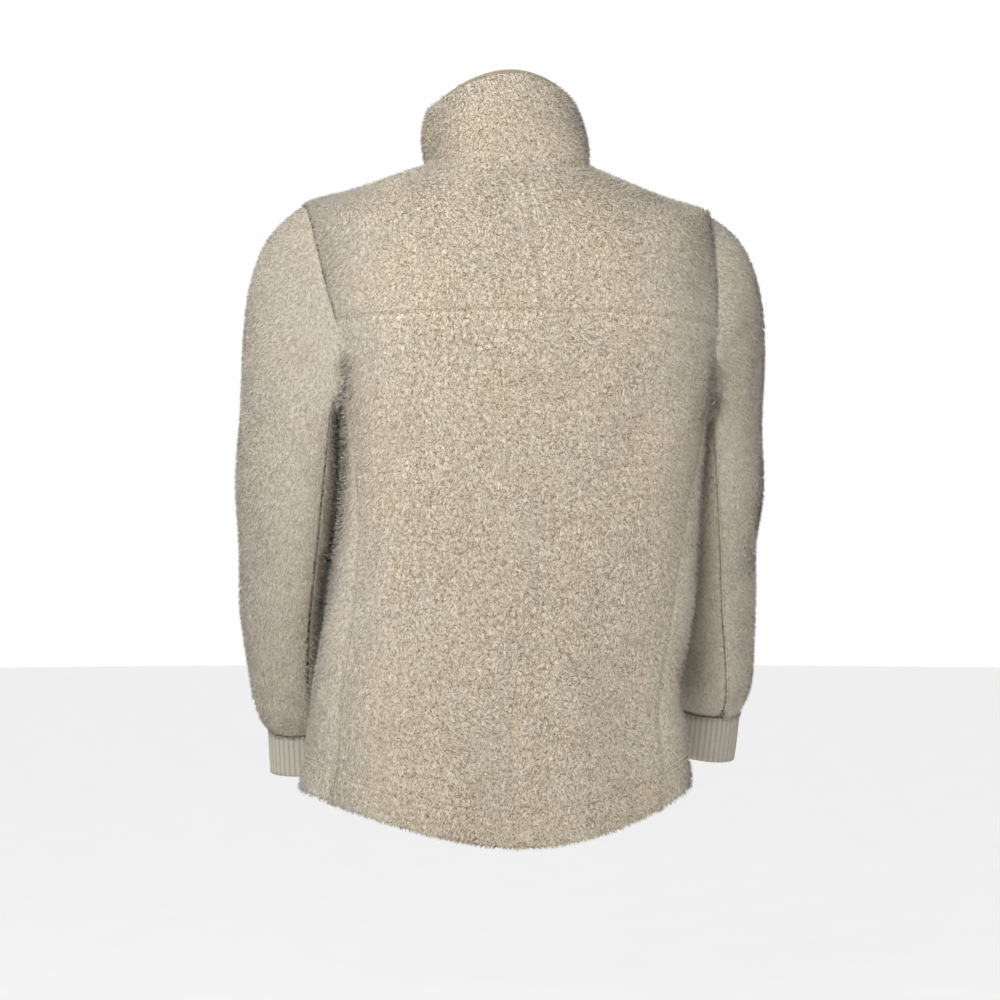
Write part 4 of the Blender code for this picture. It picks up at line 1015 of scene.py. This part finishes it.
def make_stitches(wall, name, hem):
    """Two rows of thread along the hem: short rods, pointed where they dip into the cloth."""
    if wall.points[:, 2].min() > HEM_EDGE_LEVEL:
        return
    from_hem, _ = nearest(wall.points, hem)
    rods = []
    for row in STITCH_ROWS:
        places, normals = contour(wall, from_hem, row)
        outer = places[:, 2] < HEM_EDGE_LEVEL + HEM_HEIGHT
        places, normals = places[outer], normals[outer]
        order = np.argsort(np.unwrap(np.arctan2(places[:, 0], np.sign(places[:, 1].mean()) * places[:, 1])))
        places, normals = places[order], normals[order]
        lengths = walked(places)
        for begin in np.arange(STITCH_PITCH, lengths[-1] - STITCH_PITCH, STITCH_PITCH):
            start, end = (value_at(at, lengths, places) for at in (begin, begin + STITCH_LENGTH))
            rods.append(rod(start, end, units(value_at(begin, lengths, normals))))
    dress(joined_mesh(name, rods), ["thread"])


def rod(start, end, out):
    """A stitch's corners and faces: two points and a ring of four at each end of its straight stretch."""
    start, end = start - STITCH_SINK * out, end - STITCH_SINK * out
    along = end - start
    side = STITCH_RADIUS * units(np.cross(along, out))
    up = STITCH_RADIUS * out
    points = [start - up]
    for share in STITCH_STRAIGHT:
        middle = start + share * along + 0.4 * up
        points += [middle + side, middle + up, middle - side, middle - up]
    points.append(end - up)
    foot = [(0, 1 + (k + 1) % 4, 1 + k) for k in range(4)]
    head = [(9, 5 + k, 5 + (k + 1) % 4) for k in range(4)]
    return points, foot + band(1) + head


def band(first):
    """The faces between a ring of four corners and the next one."""
    return [(first + k, first + (k + 1) % 4, first + 4 + (k + 1) % 4, first + 4 + k) for k in range(4)]


def joined_mesh(name, parts):
    """One object from many small shapes, each a list of corners and a list of faces."""
    points, faces = [], []
    for own_points, own_faces in parts:
        base = len(points)
        points += [tuple(point) for point in own_points]
        faces += [tuple(base + corner for corner in face) for face in own_faces]
    shape = bpy.data.meshes.new(name)
    shape.from_pydata(points, [], faces)
    mesh = bmesh.new()
    mesh.from_mesh(shape)
    bpy.data.meshes.remove(shape)
    bmesh.ops.recalc_face_normals(mesh, faces=mesh.faces)
    return object_from(mesh, name)


# ---- cuffs, facing and tapes
def cuff_axis(mesh):
    """The way up a cuff, from the long edges of its ribs."""
    longest = max(edge.calc_length() for edge in mesh.edges)
    axis = Vector()
    for edge in mesh.edges:
        if edge.calc_length() > LONG_EDGE * longest:
            step = edge.verts[1].co - edge.verts[0].co
            axis += step if step.z > 0.0 else -step
    return axis.normalized()


def mark_ribs(mesh, axis):
    """Says at each corner of a cuff whether it is on a rib's crest or in a valley."""
    rise = mesh.verts.layers.float_color.new("rise")
    middle = sum((vertex.co for vertex in mesh.verts), Vector()) / len(mesh.verts)

    def from_axis(vertex):
        away = vertex.co - middle
        return (away - away.project(axis)).length

    for vertex in mesh.verts:
        around = [edge.other_vert(vertex) for edge in vertex.link_edges]
        level = [v for v in around if abs((v.co - vertex.co).normalized().dot(axis)) < LEVEL_SLOPE]
        level = [v for v in level if abs(from_axis(v) - from_axis(vertex)) < CUFF_WALL]
        near_by = sum(from_axis(v) for v in level) / max(len(level), 1)
        height = 1.0 if from_axis(vertex) >= near_by - RIB_VALLEY else 0.0
        vertex[rise] = (height, height, height, 1.0)


def make_cuff(side_name):
    """The frame's ribbed cuff with its ribs rounded."""
    node = "cuff_" + side_name
    mesh = welded(node)
    crease = mesh.edges.layers.float.new("crease_edge")
    axis = cuff_axis(mesh)
    mark_ribs(mesh, axis)
    for edge in mesh.edges:
        flat = [abs(face.normal.dot(axis)) > RIM_SLOPE for face in edge.link_faces]
        if len(flat) == 2 and flat[0] != flat[1]:
            edge[crease] = 1.0
    smooth_faces(mesh)
    cuff = subdivided(object_from(mesh, node + "_knit"), CUFF_LEVELS)
    dress(cuff, ["rib"], node)


def make_plain_cloth(node, material):
    """A thin cloth piece: the frame's own wall made finer, with its edges kept."""
    mesh = welded(node)
    crease_edges(mesh, PLAIN_CREASE)
    smooth_faces(mesh)
    cloth = subdivided(object_from(mesh, node + "_cloth"), REFINE_LEVELS)
    dress(cloth, [material], node)


# ---- zip
def chain_stations():
    """The chain's middle line and outward directions, read from the frame's strip of four corners each."""
    mesh = welded("zip_chain")
    points = np.array(sorted((v.co[:] for v in mesh.verts), key=lambda co: co[2]))
    mesh.free()
    rings = points.reshape(-1, 4, 3)
    middles = rings.mean(axis=1)
    outs = []
    for ring in rings:
        by_depth = ring[np.argsort(ring[:, 1])]
        outs.append(by_depth[:2].mean(axis=0) - by_depth[2:].mean(axis=0))
    return middles, units(np.array(outs)), np.linalg.norm(outs[0])


def make_teeth():
    """Metal teeth of the two sides in turn, each a block with a narrower crown."""
    middles, outs, height = chain_stations()
    lengths = walked(middles)
    teeth = []
    side = 1.0
    for at in np.arange(TOOTH_PITCH, lengths[-1], TOOTH_PITCH):
        behind, place, ahead = (value_at(at + k * TOOTH_PITCH, lengths, middles) for k in (-1, 0, 1))
        out = value_at(at, lengths, outs)
        up = units(ahead - behind)
        teeth.append(tooth(place, side * units(np.cross(out, up)), units(out), up, height))
        side = -side
    dress(joined_mesh("zip_teeth", teeth), ["metal"], "zip_chain")


def tooth(place, across, out, up, height):
    """Three rings of four corners, from the tape up to the crown."""
    points = []
    for share, width, reach in TOOTH_RINGS:
        for x, z in ((TOOTH_INNER, -1), (reach, -1), (reach, 1), (TOOTH_INNER, 1)):
            inset = x if x > 0.0 else TOOTH_INNER * width
            half = TOOTH_HALF_HEIGHT * width * z * (1.0 if x > 0.0 else TOOTH_TAPER)
            points.append(place + inset * across + share * height * out + half * up)
    return points, [(3, 2, 1, 0), (8, 9, 10, 11)] + band(0) + band(4)


def node_axes(node):
    """The middle of a hard zip piece, and its axes across the zip, out of the cloth and up."""
    mesh = welded(node)
    front = [face for face in mesh.faces if abs(face.normal.x) < 0.1 and face.normal.y < -0.5]
    out = Vector(max(front, key=lambda face: face.calc_area()).normal)
    mesh.free()
    out.x = 0.0
    out.normalize()
    low, high = (Vector(corner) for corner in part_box(node))
    across = Vector((-1.0, 0.0, 0.0))
    return (low + high) / 2.0, across, out, across.cross(out)


def mirrored(half):
    """A closed outline from the points of its right half, from the top down."""
    return list(half) + [(-x, z) for x, z in reversed(half)]


def slab(outline, low, high):
    """A flat shape between two heights: its corners and faces, in its own axes."""
    count = len(outline)
    points = [(x, low, z) for x, z in outline] + [(x, high, z) for x, z in outline]
    faces = [tuple(range(count)), tuple(range(2 * count - 1, count - 1, -1))]
    faces += [(k, (k + 1) % count, count + (k + 1) % count, count + k) for k in range(count)]
    return points, faces


def bevelled(obj, width):
    modifier = obj.modifiers.new("rounding", "BEVEL")
    modifier.width = width
    modifier.segments = 2
    modifier.limit_method = "ANGLE"
    apply_modifiers(obj)
    for polygon in obj.data.polygons:
        polygon.use_smooth = True
    obj.data.set_sharp_from_angle(angle=SHARP_ANGLE)


def placed(parts, middle, across, out, up):
    """Turns shapes from the zip's axes to the frame's."""
    def turned(points):
        return [middle + x * across + y * out + z * up for x, y, z in points]

    return [(turned(points), faces) for points, faces in parts]


def make_slider():
    """Two shield-shaped plates with walls down their sides and a post between them at the top."""
    wide, tall = SLIDER_SIZE
    shield = mirrored([(x * wide, z * tall) for x, z in SLIDER_SHIELD])
    parts = [slab(shield, low, high) for low, high in SLIDER_PLATES]
    low, high = SLIDER_PLATES[0][1] - SLIDER_BITE, SLIDER_PLATES[1][0] + SLIDER_BITE
    foot, head = (share * tall for share in SLIDER_WALL_ENDS)
    for side in (1, -1):
        edge = side * SLIDER_WALL_PLACE * wide
        inside = edge - side * SLIDER_WALL
        parts.append(slab([(edge, foot), (edge, head), (inside, head), (inside, foot)], low, high))
    x, z = SLIDER_POST[0] / 2.0, SLIDER_POST_TOP * tall
    parts.append(slab(mirrored([(x, z), (x, z - SLIDER_POST[1])]), low, high))
    slider = joined_mesh("zip_slider_body", placed(parts, *node_axes("zip_slider")))
    bevelled(slider, SLIDER_ROUNDING)
    dress(slider, ["metal"], "zip_slider")


def make_box():
    """The retaining box at the zip's foot, with a raised collar where the pin goes in."""
    x, y, z = BOX_HALF
    cut, slot, depth = BOX_CUT, BOX_SLOT, BOX_SLOT_DEPTH
    body = mirrored([(slot, z - depth), (slot, z), (x, z), (x, -z + cut), (x - cut, -z)])
    ridge = mirrored([(x - cut, z - 2.0 * cut), (x - cut, -z + cut)])
    parts = [slab(body, -y, y - BOX_RIDGE), slab(ridge, y - BOX_RIDGE_FOOT, y)]
    box = joined_mesh("zip_box_body", placed(parts, *node_axes("zip_box")))
    bevelled(box, BOX_ROUNDING)
    dress(box, ["metal"], "zip_box")


def make_pull():
    """The tab that swings on the bow: rounded edges, a window at its top and a sunk grip."""
    mesh = bmesh.new()
    add_plate(mesh, (PULL_OUTLINE, PULL_WINDOW), PULL_HALF_THICK - GRIP_DEPTH, PULL_ROUNDING, 1)
    add_plate(mesh, (GRIP_OUTLINE,), PULL_HALF_THICK, GRIP_ROUNDING, GRIP_ROUNDING_STEPS)
    for vertex in mesh.verts:
        x, up, out = vertex.co
        vertex.co = Vector(PULL_HINGE) + Vector((x, -out, up))
    bmesh.ops.remove_doubles(mesh, verts=mesh.verts, dist=1e-6)
    bmesh.ops.recalc_face_normals(mesh, faces=mesh.faces)
    dress(object_from(mesh, "zip_pull_tab"), ["metal"], "zip_pull", "pull")


def add_plate(mesh, outlines, half_thick, rounding, steps):
    """Adds a flat plate with rounded edges to a mesh. Outlines inside the first one are windows."""
    curve = bpy.data.curves.new("plate", "CURVE")
    curve.dimensions = "2D"
    curve.fill_mode = "BOTH"
    curve.extrude = half_thick
    curve.bevel_depth = rounding
    curve.bevel_resolution = steps
    for outline in outlines:
        spline = curve.splines.new("POLY")
        spline.points.add(2 * len(outline) - 1)
        for point, (x, z) in zip(spline.points, mirrored(outline)):
            point.co = (x, z, 0.0, 1.0)
        spline.use_cyclic_u = True
    holder = link(bpy.data.objects.new("plate", curve))
    graph = bpy.context.evaluated_depsgraph_get()
    mesh.from_mesh(bpy.data.meshes.new_from_object(holder.evaluated_get(graph), depsgraph=graph))
    bpy.data.objects.remove(holder)


def make_zip():
    make_teeth()
    make_slider()
    make_box()
    make_pull()
    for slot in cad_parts["zip_bridge"].material_slots:
        slot.material = MATERIALS["metal"]
    for side_name in ("left", "right"):
        make_plain_cloth("zip_tape_" + side_name, "tape")


# ---- view
PIXEL = 0.00105  # metres to a pixel of the photograph at the jacket's middle
VIEW_DISTANCE = 3.0
VIEW_AZIMUTH = math.radians(168.0)
VIEW_HEIGHT = -0.355
SENSOR = 36.0
IMAGE_SIZE = 1000
FLOOR_LEVEL = -1.45
FLOOR_RADIUS = 16.0
WORLD_DARK_WAY = (-0.5, 0.866, 0.0)  # the least light comes from this way
WORLD_SPREAD = (-0.55, 0.6)  # how far towards that way the light starts to fade, and has faded
WORLD_BEHIND = 0.43  # what is left of it there

# Each light: its place, what it is aimed at, how wide it is and its power
LIGHTS = {
    "key": ((0.74, 1.85, 0.56), (0.0, 0.0, -0.25), 0.9, 45.5),
    "front": ((0.6, -2.4, 0.6), (0.0, 0.0, -0.35), 1.8, 12.0),
}


def make_camera():
    data = bpy.data.cameras.new("camera")
    data.sensor_width = SENSOR
    data.lens = SENSOR * VIEW_DISTANCE / (PIXEL * IMAGE_SIZE)
    camera = link(bpy.data.objects.new("camera", data))
    away = Vector((math.sin(VIEW_AZIMUTH), -math.cos(VIEW_AZIMUTH), 0.0))
    camera.location = Vector((0.0, 0.0, VIEW_HEIGHT)) + away * VIEW_DISTANCE
    camera.rotation_euler = (math.radians(90.0), 0.0, VIEW_AZIMUTH)
    bpy.context.scene.camera = camera


def make_light(name, place, target, size, power):
    data = bpy.data.lights.new(name, "AREA")
    data.shape = "DISK"
    data.size = size
    data.energy = power
    light = link(bpy.data.objects.new(name, data))
    light.location = place
    light.rotation_euler = (Vector(target) - Vector(place)).to_track_quat("-Z", "Y").to_euler()


def make_stage():
    """A plain pale floor."""
    shader = Shader("backdrop", (0.93, 0.93, 0.93), 0.9)
    low, high = (shade(WHITE, tone) for tone in FLOOR_TONES)
    shader.colour_from(shader.ramp(shader.noise(6.0), [(0.3, low), (0.7, high)]))
    shader.set("Emission Color", (*WHITE, 1.0))
    shader.set("Emission Strength", FLOOR_GLOW)
    place = (0, 0, FLOOR_LEVEL)
    bpy.ops.mesh.primitive_circle_add(vertices=96, radius=FLOOR_RADIUS, fill_type="NGON", location=place)
    floor = bpy.context.object
    floor.name = "floor"
    floor.data.materials.append(shader.material)


def make_world():
    """Soft white light, strongest from the side that the jacket faces."""
    world = bpy.data.worlds.new("studio")
    nodes = Nodes(world)
    way = nodes.node("TexCoord").outputs["Generated"]
    facing = nodes.joined(way, "VectorMath", 0, operation="DOT_PRODUCT")
    facing.inputs[1].default_value = WORLD_DARK_WAY
    light = nodes.spread(facing.outputs["Value"], WORLD_SPREAD, (1.0, WORLD_BEHIND))
    nodes.join(light, nodes.tree.nodes["Background"].inputs["Color"])
    bpy.context.scene.world = world


make_camera()
make_world()
make_stage()
for light, settings in LIGHTS.items():
    make_light(light, *settings)
bpy.context.scene.view_settings.view_transform = "Standard"

make_cloth()
for name in ("left", "right"):
    make_cuff(name)
make_plain_cloth("collar_facing", "facing")
make_zip()
